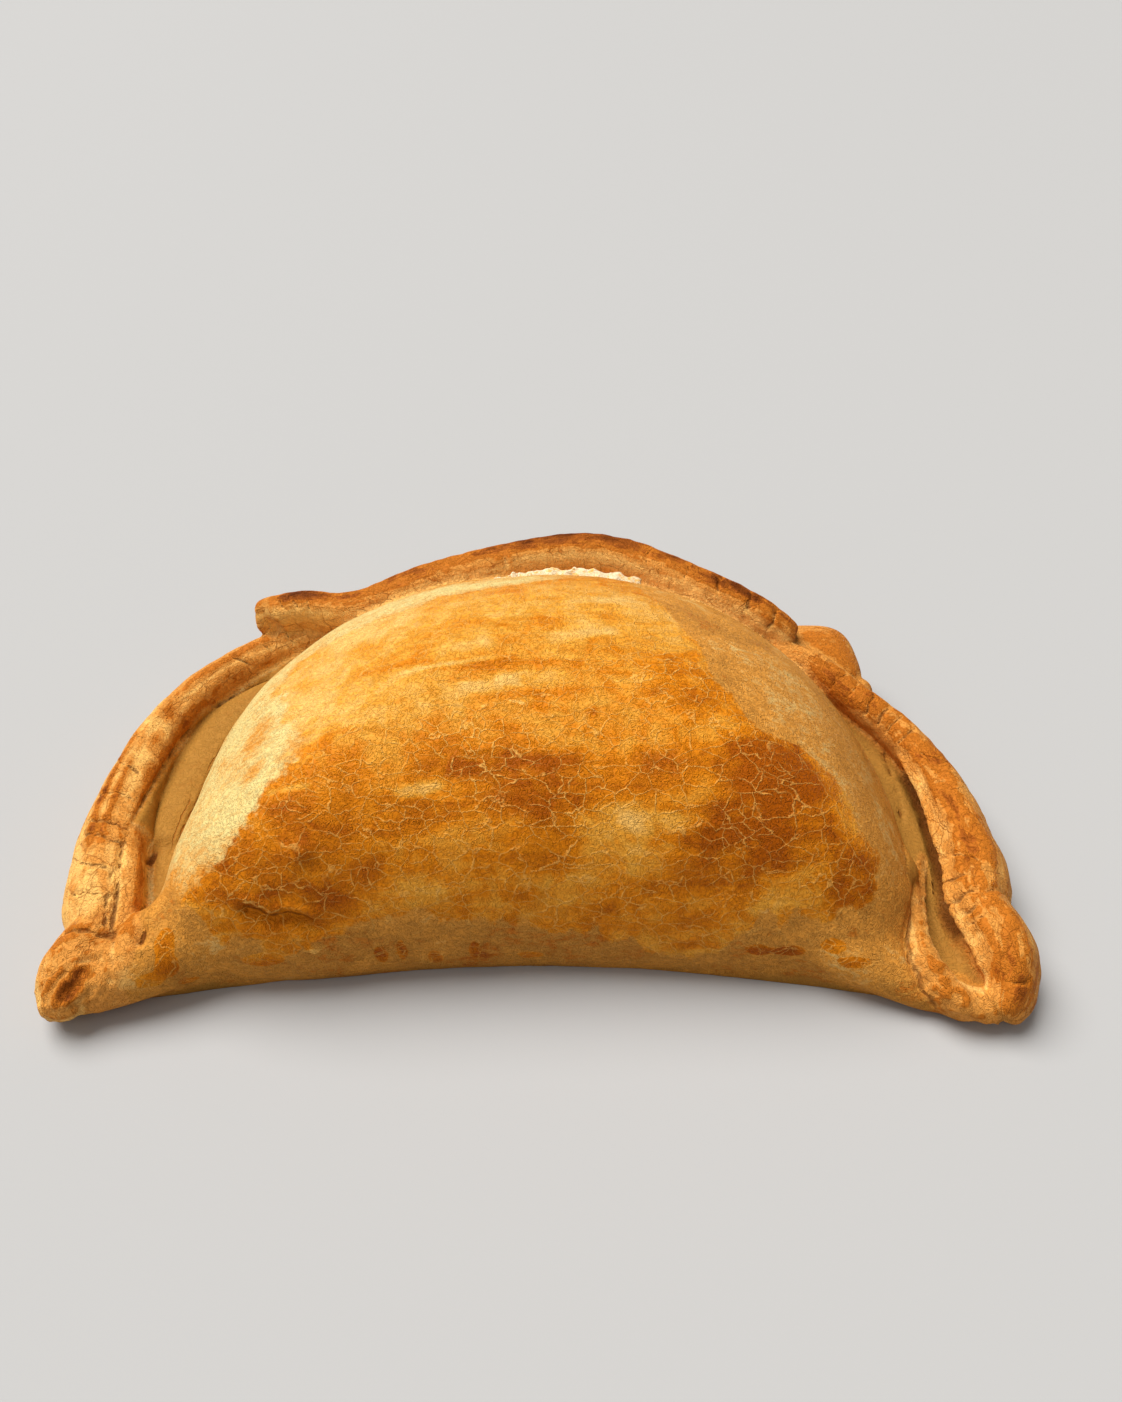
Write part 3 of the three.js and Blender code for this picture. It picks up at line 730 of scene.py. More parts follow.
def flap_place(angle, share, height):
    """The folded corner that stands out behind the right end of the back hem."""
    reach = plan_reach(FLAP_PLAN, FLAP_ROUNDNESS, angle) * share
    along = np.stack([reach * np.cos(angle), reach * np.sin(angle), FLAP_HALF_HEIGHT * height], 1)
    return along + FLAP_CENTRE + FRAME_SHIFT


def in_scene(name, data):
    """A new object of the scene that holds the data."""
    thing = bpy.data.objects.new(name, data)
    bpy.context.scene.collection.objects.link(thing)
    return thing


def form_object(name, bm):
    """An object with the bmesh's shape, which is then freed."""
    mesh = bpy.data.meshes.new(name)
    bm.to_mesh(mesh)
    bm.free()
    return in_scene(name, mesh)


def shaped_sphere(name, steps, place):
    """A closed form whose points are those of a sphere, each moved by the drawing's rule."""
    bm = bmesh.new()
    bmesh.ops.create_uvsphere(bm, u_segments=steps[0], v_segments=steps[1], radius=1.0)
    unit = np.array([v.co for v in bm.verts])
    share = np.minimum(1.0, np.hypot(unit[:, 0], unit[:, 1]))
    share = np.where(share < 1e-6, 0.0, share)
    angle = np.where(share == 0.0, 0.0, np.arctan2(unit[:, 1], unit[:, 0]))
    for vert, point in zip(bm.verts, place(angle, share, unit[:, 2])):
        vert.co = point
    bmesh.ops.recalc_face_normals(bm, faces=bm.faces)
    return form_object(name, bm)


def ball_form(name, ball):
    """A small ball of dough at its place in the drawing."""
    bm = bmesh.new()
    at = Matrix.Translation(Vector(ball["at"]) + Vector(FRAME_SHIFT))
    bmesh.ops.create_icosphere(bm, subdivisions=BALL_STEPS, radius=ball["radius"], matrix=at)
    return form_object(name, bm)


def dough_forms(sizes):
    """The closed forms that the empanada is joined from."""
    forms = {"belly": shaped_sphere("belly", BELLY_STEPS, belly_place(sizes)),
             "shelf": shaped_sphere("shelf", SHELF_STEPS, shelf_place)}
    for name, roll in ROLLS.items():
        forms[name] = shaped_sphere(name, ROLL_STEPS[name], roll.place)
    forms["flap"] = shaped_sphere("flap", FLAP_STEPS, flap_place)
    for name, ball in (("nub", FLAP_NUB), ("pocket_end", POCKET_END)):
        forms[name] = ball_form(name, ball)
    return forms


def finished_mesh(form):
    """Mesh of a form after its modifiers."""
    bpy.context.view_layer.update()
    graph = bpy.context.evaluated_depsgraph_get()
    return bpy.data.meshes.new_from_object(form.evaluated_get(graph), depsgraph=graph)


def fused(forms, grain):
    """Joins the forms into one skin of even mesh."""
    whole = forms[0]
    for form in forms[1:]:
        join = whole.modifiers.new(form.name, "BOOLEAN")
        join.operation = "UNION"
        join.solver = "MANIFOLD"
        join.object = form
    skin = whole.modifiers.new("skin", "REMESH")
    skin.mode = "VOXEL"
    skin.voxel_size = grain
    mesh = finished_mesh(whole)
    if not mesh.polygons:
        raise RuntimeError("the forms of dough did not join")
    return mesh


def nearness(form, points):
    """Distance from each point to a form's surface."""
    bm = bmesh.new()
    bm.from_mesh(form.data)
    tree = BVHTree.FromBMesh(bm)
    bm.free()
    return np.array([tree.find_nearest(p)[3] for p in points])


def ripple(points, size, seed=0.0, where=None):
    """Soft noise from -1 to 1 whose humps are about the given size across, only where it is asked for."""
    values = np.zeros(len(points))
    chosen = np.arange(len(points)) if where is None else np.flatnonzero(where > 0.0)
    values[chosen] = [noise.noise(p) for p in points[chosen] / size + seed]
    return values


def ripples(points, where, *waves):
    """Sum of soft noises, each given by its height, the size of its humps and a seed."""
    return sum(height * ripple(points, size, seed, where) for height, size, seed in waves)


class Skin:
    """The fused dough while it is being shaped: points, normals and where each point lies."""

    def __init__(self, mesh):
        self.mesh = mesh
        count = len(mesh.vertices)
        self.points = np.zeros(count * 3)
        mesh.vertices.foreach_get("co", self.points)
        self.points = self.points.reshape(-1, 3)
        edges = np.zeros(len(mesh.edges) * 2, int)
        mesh.edges.foreach_get("vertices", edges)
        self.a, self.b = edges.reshape(-1, 2).T
        self.degree = np.bincount(self.a, minlength=count) + np.bincount(self.b, minlength=count)
        self.crack = np.full(count, FAR)
        for mark in ("crevice", "brown", "pale", "flake", "crumb"):
            setattr(self, mark, np.zeros(count))

    def averaged(self, values, times):
        """Points spread evenly between their neighbours."""
        values = np.array(values, float)
        for _ in range(times):
            total = np.zeros_like(values)
            for k in range(values.shape[1]):
                total[:, k] = np.bincount(self.a, values[self.b, k], len(values))
                total[:, k] += np.bincount(self.b, values[self.a, k], len(values))
            values = 0.5 * values + 0.5 * total / self.degree[:, None]
        return values

    def refresh(self):
        """Writes the points to the mesh and reads its normals."""
        self.mesh.vertices.foreach_set("co", self.points.ravel())
        self.mesh.update()
        normals = np.zeros(len(self.points) * 3)
        self.mesh.vertex_normals.foreach_get("vector", normals)
        self.normals = normals.reshape(-1, 3)

    def raise_by(self, height):
        """Moves each point out along its normal."""
        self.points = self.points + self.normals * height[:, None]
        self.refresh()

    def soften(self, share, times):
        """Smooths the skin by a share of full smoothing."""
        self.points = lerp(self.points, self.averaged(self.points, times), share[:, None])
        self.refresh()

    def on(self, name, far=HEM_EDGE[0], near=HEM_EDGE[1]):
        """Share of each point that belongs to a roll, from how far it lies off it."""
        return smoothstep(far, near, self.places[name][2])

    def score(self, distance, shown):
        """Notes how far the nearest fine crack is, where it shows at all."""
        self.crack = np.minimum(self.crack, distance + HIDDEN * (1.0 - shown))

    def mark(self, name, share):
        """Notes a mark where it is stronger than what is there."""
        setattr(self, name, np.maximum(getattr(self, name), share))


def spot_distance(points, spot):
    """Distance from the middle of a spot in its half widths: x, y, z, half width and half height."""
    x, y, z, wide, tall = spot[:5]
    up = np.hypot(points[:, 1] - y, points[:, 2] - z) / tall
    return np.hypot((points[:, 0] - x) / wide, up)


def patch(points, spot):
    """Share of a soft spot on the surface."""
    return bell(spot_distance(points, spot), 1.0)


def stain(points, spot, mottle):
    """Share of a flat-topped spot with a ragged edge."""
    return smoothstep(*STAIN_EDGE, spot_distance(points, spot) + STAIN_RAGGED * mottle)


def trail(points, stations, reach):
    """For points near a drawn line: distance to it, how far along it they lie, and the way from it."""
    t = np.linspace(0.0, 1.0, LINE_SAMPLES)
    line = spline(stations, t)
    gap = np.full(len(points), NOWHERE)
    share = np.zeros(len(points))
    away = np.full((len(points), 3), NOWHERE)
    near = np.flatnonzero(((points > line.min(0) - reach) & (points < line.max(0) + reach)).all(1))
    squared = ((points[near][:, None, :] - line[None, :, :]) ** 2).sum(2)
    closest = squared.argmin(1)
    gap[near] = np.sqrt(squared[np.arange(len(near)), closest])
    share[near] = t[closest]
    away[near] = points[near] - line[closest]
    return gap, share, away


def shape_hem(skin, name, depth):
    """Cracks across a hem, folds along it and the uneven surface between them."""
    along, angle, _ = skin.places[name]
    points, on = skin.points, skin.on(name)
    wobble = ripples(points, on, CRACK["wobble"])
    rise = on * ripples(points, on, *HEM_UNEVEN)
    groove = np.zeros(len(points))
    for at, slant, first, last, share in CRACKS[name]:
        gap = along - at - slant * (angle - CRACK["upright"]) - wobble
        shown = on * window(angle, first, last, CRACK["fade"])
        groove = np.maximum(groove, bell(gap, CRACK["half"]) * shown * share)
        step = np.where(gap > 0, np.exp(-np.abs(gap) / CRACK["step_reach"]), 0.0)
        rise += CRACK["step"] * shown * share * step
        skin.score(np.abs(gap) / min(1.0, share + 0.2), shown)
    rise -= depth * groove
    drift = ripples(points, on, FOLD["drift"])
    for at, first, last, high, sharp in FOLDS[name]:
        turned = angle - at - drift
        edge = smoothstep(-4.0 * sharp, 0.0, turned) * smoothstep(2.0 * sharp, 0.0, turned)
        rise += on * high * edge * window(along, first, last, FOLD["fade"])
    skin.raise_by(rise)


def shape_right_edge(skin):
    """The crumbled inner edge of the right hem, which hangs over the floor beside it, with painted shadow
    under it.
    """
    along, angle, _ = skin.places["hem_right"]
    turned = unwrapped(angle) - RIGHT_EDGE["angle"]
    on = skin.on("hem_right") * window(along, *RIGHT_EDGE["along"], 3.0)
    crumbs = ripples(skin.points, on, RIGHT_EDGE["crumbs"])
    wander = ripples(skin.points, on, RIGHT_EDGE["wander"])
    edge = on * bell(turned + wander, RIGHT_EDGE["half"])
    under = on * window(turned, *RIGHT_EDGE["under"], 0.10) * smoothstep(*RIGHT_EDGE["under_ends"], along)
    # Painted shadow under the overhanging edge, where it is cut hollow.
    skin.mark("crevice", 0.95 * under)
    skin.raise_by((RIGHT_EDGE["height"] + crumbs) * edge - RIGHT_EDGE["undercut"] * under)
    skin.mark("pale", 0.35 * edge)
    skin.mark("flake", 0.5 * smoothstep(0.75, 1.1, edge + crumbs))


def beside_crease(skin, stations, ends):
    """Near a crease: distance to it, where it shows, and how far towards the belly a point lies."""
    gap, share, away = trail(skin.points, stations, CREASE["reach"])
    inward = np.array([*BELLY_CENTRE, 0.0]) - skin.points
    side = (away * inward).sum(1) / np.linalg.norm(inward[:, :2], axis=1)
    return gap, tapered(share, ends, ends), side


def shape_band(skin):
    """The floor beside the hems: a creased pillow of dough on the left, a dotted crease on the right."""
    points = skin.points
    gap, shown, side = beside_crease(skin, LEFT_CREASE, 0.05)
    gap = gap + ripples(points, gap < CREASE["reach"], (0.25, 1.8, 47.0))
    near = (gap < CREASE["reach"]) * (1.0 - skin.belly)
    inner = np.clip(side, 0.0, None)
    across = inner / (inner + skin.off_belly + 0.2)
    pillow = 4.0 * across * (1.0 - across) * near
    rise = shown * (CREASE["pillow"] * pillow - CREASE["depth"] * bell(gap, CREASE["half"]))
    skin.score(gap, shown)
    skin.band = shown * smoothstep(-0.2, 0.6, side) * near
    x, y, _ = points.T
    skin.fringe = smoothstep(*FRINGE["x"], x) * window(y, *FRINGE["y"], FRINGE["soft"]) * skin.flat
    for at, depth in FRINGE_LINES:
        rise -= depth * skin.fringe * bell(skin.off_belly - at, 0.4)
    gap, shown, side = beside_crease(skin, RIGHT_CREASE, 0.06)
    near = gap < CREASE["reach"]
    gap = gap + ripples(points, near, (0.3, 2.0, 49.0))
    dotted = shown * smoothstep(-0.25, -0.05, ripple(points, 1.6, 50.0, near))
    rise -= CREASE["dots"] * dotted * bell(gap, CREASE["half"])
    skin.score(gap, dotted)
    floor = shown * near * (1.0 - skin.on("hem_right", 0.9, 0.2))
    skin.band = np.maximum(skin.band, floor * smoothstep(0.0, 0.8, -side))
    skin.raise_by(rise)


def rolled_eye(skin):
    """Height of the folds round the rolled eye of the left tip; it also marks the eye's browning and paints
    shade into its gaps.
    """
    points = skin.points
    away = points - np.array(TIP_EYE["at"])
    lengthwise = away @ np.array(TIP_EYE["along"])
    sidewise = np.sqrt(np.maximum((away ** 2).sum(1) - lengthwise ** 2, 0.0))
    ring = np.hypot(lengthwise / TIP_EYE["half"][0], sidewise / TIP_EYE["half"][1])
    near = ring < TIP_EYE["reach"]
    crumple = ripple(points, 2.0, 31.0, near)
    ring = ring + 0.55 * crumple + 0.22 * ripple(points, 0.9, 33.0, near)
    skin.mark("brown", 0.45 * smoothstep(1.6, 0.7, ring))
    # Painted shade in the gaps round the eye and at its middle.
    skin.mark("crevice", 0.5 * bell(ring - 0.9, 0.2) + 0.25 * bell(ring, 0.35))
    folds = np.cos(2.0 * math.pi * (ring - 1.45) / 1.4) * window(ring, 1.0, 3.4, 0.5)
    return 0.20 * folds * (1.0 + crumple) - 0.7 * bell(ring, 0.8) + ripples(points, near, (0.25, 1.3, 35.0))


def shape_slab(skin):
    """The left tip: lines along the slab, holes in its crease and the rolled eye at its end, with painted
    shade in the grooves and holes.
    """
    points = skin.points
    rise = rolled_eye(skin)
    for stations, half, high in SLAB_GROOVES:
        gap, share, _ = trail(points, stations, SLAB_REACH)
        gap = gap + ripples(points, gap < SLAB_REACH, (0.3, 1.8, 29.0))
        ends = tapered(share, 0.08, 0.08)
        rise += high * ends * bell(gap, half)
        if high < 0.0:
            skin.score(gap, ends)
            # Painted shade along the groove.
            skin.mark("crevice", 0.6 * ends * bell(gap, 0.6 * half))
        else:
            skin.mark("brown", 0.2 * ends * bell(gap, half))
    for hole in SLAB_HOLES:
        mark = patch(points, hole)
        rise -= 1.2 * mark
        # Painted shade in the hole.
        skin.mark("crevice", smoothstep(0.3, 0.8, mark))
    skin.raise_by(rise)


def shape_lip(skin):
    """The torn, crumbled edge of the belly's sheet along the pocket at the right tip, and its floor."""
    along, angle, off = skin.places["lip"]
    points = skin.points
    skin.lip = on = skin.on("lip", 1.3, 0.3) * (1.0 - skin.on("hem_right", 1.2, 0.3))
    crumbs = ripples(points, on, *CRUMBS_OF_LIP)
    torn = bell(angle - 0.55 + ripples(points, on, (0.3, 1.8, 44.0)), 0.4)
    inside = smoothstep(-0.1, 0.4, np.cos(angle)) * (1.0 - skin.on("hem_right", 1.4, 0.4))
    outside = smoothstep(0.1, -0.5, np.cos(angle))
    floor = smoothstep(0.1, 0.9, off) * smoothstep(8.0, 6.0, off)
    skin.pocket = inside * floor * window(along, *LIP_RUN["pocket"])
    beside = outside * smoothstep(5.0, 0.5, off) * window(along, *LIP_RUN["beside"])
    seam = off - LIP_SIDE["seam"] + ripples(points, off < 4.0, (0.35, 2.0, 42.0))
    lower = outside * window(along, *LIP_RUN["seam"])
    skin.score(np.abs(seam), lower)
    fall = LIP_SIDE["crease"] * lower * bell(seam, 0.9) + LIP_SIDE["drop"] * skin.pocket
    skin.raise_by(LIP_SIDE["rise"] * beside * (1.0 - 0.4 * on) - fall)
    skin.mark("flake", on * 0.6 * torn * smoothstep(-0.2, 0.4, crumbs))
    skin.mark("pale", 0.25 * on * torn)
    skin.raise_by(on * (0.5 + crumbs + 0.4 * torn) * smoothstep(*LIP_GROWS, along))
    from_end = np.linalg.norm(points - np.array(LIP_END["at"]), axis=1)
    closed = smoothstep(*LIP_END["reach"], from_end)
    # No painted shade and no cracks where the pocket closes.
    skin.crevice *= 1.0 - closed
    skin.crack = lerp(skin.crack, FAR, closed)
    skin.soften(closed, 80)


def shape_belly(skin, unevenness):
    """Soft unevenness, torn flakes of glaze, a blister and a collapsed one with its torn edge."""
    points, on = skin.points, skin.belly
    rise = on * (unevenness * ripples(points, on, *BELLY_UNEVEN) + patch(points, BLISTER))
    gap, share, _ = trail(points, BLISTER_TEAR, TEAR_REACH)
    torn = ripples(points, gap < TEAR_REACH, (0.4, 1.4, 61.0))
    below = spline(BLISTER_TEAR, share)[:, 2] - points[:, 2] + torn
    shown = tapered(share, 0.12, 0.2) * (gap < TEAR_REACH)
    rise += shown * (0.5 * bell(below + 0.7, 0.7) - 1.1 * bell(below - 1.2, 1.4))
    skin.score(np.abs(below - 0.4), shown)
    skin.mark("flake", 0.52 * shown * bell(below + 0.55, 0.5))
    for stations, half, paleness in FLAKES:
        gap, _, _ = trail(points, stations, FLAKE["reach"])
        ragged = gap + ripples(points, gap < FLAKE["reach"], (0.9 * half, 0.9, 63.0))
        flake = smoothstep(1.4 * half, 0.4 * half, ragged)
        rise += FLAKE["height"] * flake
        skin.mark("flake", paleness * flake)
    skin.raise_by(rise)


def shape_tear(skin):
    """Crumbs of the raw dough that split open behind the belly, and the hollow end of the back hem."""
    on = skin.on("tear", 1.6, 0.2)
    lumps = ripples(skin.points, on, *CRUMBS_OF_TEAR)
    skin.mark("crumb", smoothstep(0.35, 0.75, on + 0.6 * lumps))
    skin.raise_by(on * (1.2 * lumps - 0.8))
    gap, share, _ = trail(skin.points, ROLL_END_HOLLOW, 4.0)
    ends = tapered(share, 0.2, 0.15)
    skin.hollow = bell(gap, 1.5) * ends
    skin.raise_by(0.45 * bell(gap - 2.6, 0.7) * ends - 1.8 * skin.hollow)


def glaze_cover(points, mottle):
    """Share of the belly that the glaze covers, and how far it is inside the glaze's back edge alone."""
    x, y, z = points.T
    left = smoothstep(-8.0, 8.0, x - along_edge(y, GLAZE_LEFT) + 3.0 * mottle)
    past = x - along_edge(y, GLAZE_RIGHT)
    soft, crisp = smoothstep(7.0, -7.0, past + 3.0 * mottle), smoothstep(2.5, -2.5, past + mottle)
    right = lerp(soft, crisp, smoothstep(*GLAZE_CRISP, y))
    drips = 3.0 * ripple(points * np.array([1.0, 0.2, 0.2]), 3.0, 87.0, y < -30.0)
    foot = smoothstep(-4.0, 4.0, z - along_edge(x, GLAZE_FOOT) + drips)
    foot = lerp(1.0, foot, smoothstep(*GLAZE_FRONT, y))
    back = smoothstep(3.5, -3.5, y - along_edge(x, GLAZE_BACK) + 2.0 * mottle)
    return np.min([left, right, foot, back], 0), back


def bare_dough(points, mottle, back):
    """How brown the belly is where it is bare: pale on its left flank and behind, partly pale dough and
    partly a painted highlight of the light from behind; darker at its foot, partly browning and partly
    painted shade.
    """
    x, y, z = points.T
    flank = smoothstep(*BARE_EDGE["flank_x"], x) * smoothstep(*BARE_EDGE["flank_y"], y)
    # Pale on the left flank and on the left behind the glaze: partly pale dough, partly a painted highlight
    # of the light from behind.
    pale = np.maximum(flank, (1.0 - back) * smoothstep(*BARE_EDGE["left_x"], x))
    bare = lerp(BARE["belly"], BARE["flank"], pale)
    # Darker at the foot in front: partly browning, partly painted shade.
    foot = smoothstep(*BARE_EDGE["foot_z"], z) * smoothstep(*BARE_EDGE["front_y"], y)
    bare = lerp(bare, BARE["foot"], foot)
    bare = lerp(bare, np.maximum(bare, BARE["back"]), smoothstep(*BARE_EDGE["back_y"], y))
    bare += 0.14 * mottle
    for spot in BARE_SPOTS:
        bare += spot[5] * stain(points, spot, mottle)
    return bare


def paint_belly(points, mottle):
    """How browned and how glazed the belly is, how brown where it is bare, and how crackled."""
    bake = np.full(len(points), BELLY_BAKE)
    for spot in BELLY_SPOTS:
        bake += spot[5] * stain(points, spot, mottle)
    for stations, half, paler in STROKES:
        gap, share, _ = trail(points, stations, STROKE["reach"])
        ragged = gap + ripples(points, gap < STROKE["reach"], (0.5 * half, 2.0, 85.0))
        stroke = tapered(share, STROKE["ends"], STROKE["ends"]) * smoothstep(1.5 * half, 0.5 * half, ragged)
        bake -= STROKE["strength"] * paler * stroke
    glaze, back = glaze_cover(points, mottle)
    for spot in GLAZE_DABS:
        share = stain(points, spot, mottle)
        glaze = np.maximum(glaze, share)
        bake = lerp(bake, spot[5], share)
    crackle = np.full(len(points), CRACKLE_LEAST)
    for spot in CRACKLED:
        crackle = np.maximum(crackle, spot[5] * patch(points, spot))
    return bake, glaze, bare_dough(points, mottle, back), crackle


def behind_hems(points):
    """Share of the outer wall of dough below and behind the hems."""
    ring = np.vstack([ROLLS[name].line for name in HEMS]) - RING_CENTRE
    heading = np.arctan2(ring[:, 1], ring[:, 0])
    order = np.argsort(heading)
    away = points - RING_CENTRE
    reach = np.hypot(ring[:, 0], ring[:, 1])[order]
    reach = np.interp(np.arctan2(away[:, 1], away[:, 0]), heading[order], reach)
    return smoothstep(0.0, 2.0, np.hypot(away[:, 0], away[:, 1]) - reach)


def paint(skin):
    """Stores how browned, glazed, crackled and torn the crust is at each point."""
    points = skin.points
    mottle = ripples(points, None, *MOTTLE)
    bake, glaze, bare, crackle = paint_belly(points, mottle)
    hems, run, turn = (np.zeros(len(points)) for _ in range(3))
    for name, spots in HEM_SPOTS.items():
        along, angle, _ = skin.places[name]
        on = skin.on(name, 0.9, 0.3) * (1.0 - skin.band)
        run = np.where(on > hems, along, run)
        turn = np.where(on > hems, unwrapped(angle), turn)
        level = HEM_BAKE[name] + UNEVEN_BAKE * mottle
        for place, facing, half, spread, more in spots:
            level = level + more * bell(along - place, half) * bell(angle - facing, spread)
        bake = lerp(bake, level, on)
        hems = np.maximum(hems, on)
    slab = smoothstep(0.5, -0.5, points[:, 0] - along_edge(points[:, 1], SLAB_EDGE))
    folded = {
        "slab": slab * smoothstep(*SLAB_BACK, points[:, 1]) * (1.0 - hems),
        "flap": skin.flap * (1.0 - hems),
        "lip": skin.lip,
        "behind": behind_hems(points) * (1.0 - hems) * (1.0 - skin.flap),
    }
    for name, part in folded.items():
        bake = lerp(bake, FOLDED_BAKE[name] + UNEVEN_BAKE * mottle, part)
        hems = np.maximum(hems, part)
    flat = np.maximum(skin.flat, skin.band) * (1.0 - hems)
    glaze = lerp(glaze, 0.0, flat)
    bare = lerp(bare, BARE["floor"] + 0.05 * mottle, np.maximum(flat, skin.pocket))
    ridge = ((points - skin.averaged(points, 12)) * skin.normals).sum(1)
    bake += np.clip(0.6 * ridge, -0.15, 0.25) * hems + skin.brown - skin.pale
    values = {
        "bake": lerp(bake, 0.10, 0.8 * skin.hollow), "bare": bare, "glaze": glaze, "hem": hems,
        "crumb": skin.crumb, "flake": skin.flake, "crack": skin.crack, "run": run, "turn": turn,
        # Painted shade in the crevices, and in the hollows of the skin.
        "crevice": np.maximum(skin.crevice, np.clip(-0.6 * ridge - 0.15, 0.0, 0.25)),
        "crackle": crackle * (1.0 - hems) * (1.0 - flat) * lerp(0.4, 1.0, glaze),
        # The hollows beside the hems and the pocket's floor take the darker hollow dough, partly painted
        # shade.
        "valley": np.maximum(flat, 0.86 * skin.pocket),
        "foot": np.minimum(skin.off_belly, FAR), "fringe": skin.fringe,
    }
    for name in LAYERS:
        layer = skin.mesh.attributes.new(name, "FLOAT", "POINT")
        layer.data.foreach_set("value", np.asarray(values[name], np.float32))


def build_crust(sizes):
    """Joins the forms, shapes the skin, stores what the crust's finish reads and cuts it flat."""
    forms = dough_forms(sizes)
    mesh = fused(list(forms.values()), sizes.grain / MM)
    skin = Skin(mesh)
    skin.points = skin.averaged(skin.points, 3)
    skin.refresh()
    skin.places = {name: roll.locate(skin.points) for name, roll in ROLLS.items()}
    skin.off_belly = nearness(forms["belly"], skin.points)
    off_flap = nearness(forms["flap"], skin.points)
    for form in forms.values():
        bpy.data.objects.remove(form)
    hem = np.max([skin.on(name) for name in HEMS], 0)
    corner = np.max([skin.on(name, 1.4, 0.4) for name in CORNERS], 0)
    round_corner = np.max([skin.on(name, 4.0, 1.0) for name in CORNERS], 0)
    skin.belly = smoothstep(1.2, 0.3, skin.off_belly) * (1.0 - hem)
    skin.flap = smoothstep(1.2, 0.3, off_flap) * smoothstep(*FLAP_LEFT, skin.points[:, 0])
    skin.flat = (1.0 - hem) * (1.0 - skin.belly) * (1.0 - corner) * (1.0 - skin.flap)
    skin.soften(smoothstep(4.0, 1.0, skin.off_belly) * round_corner * (1.0 - hem), 60)
    for name in HEMS:
        shape_hem(skin, name, sizes.crack_depth / MM)
    shape_right_edge(skin)
    shape_band(skin)
    shape_belly(skin, sizes.unevenness / MM)
    shape_slab(skin)
    shape_lip(skin)
    shape_tear(skin)
    paint(skin)
    return thinned(cut_flat(mesh), sizes.most_triangles)


def cut_flat(mesh):
    """Cuts the dough off flat where it stands, closes the base and turns millimetres into metres."""
    bm = bmesh.new()
    bm.from_mesh(mesh)
    everything = bm.verts[:] + bm.edges[:] + bm.faces[:]
    bmesh.ops.bisect_plane(
        bm, geom=everything, dist=1e-4, plane_co=(0, 0, 0), plane_no=(0, 0, 1), clear_inner=True)
    rim = [e for e in bm.edges if e.is_boundary]
    bmesh.ops.triangle_fill(bm, use_beauty=True, edges=rim, normal=(0, 0, -1))
    bmesh.ops.scale(bm, vec=(MM, MM, MM), verts=bm.verts)
    for face in bm.faces:
        face.smooth = True
    bm.to_mesh(mesh)
    bm.free()
    return mesh


def thinned(mesh, most):
    """Thins the mesh where it is flattest, down to a number of triangles."""
    mesh.calc_loop_triangles()
    form = in_scene("thinned", mesh)
    form.modifiers.new("thin", "DECIMATE").ratio = min(1.0, most / len(mesh.loop_triangles))
    result = finished_mesh(form)
    bpy.data.objects.remove(form)
    return result


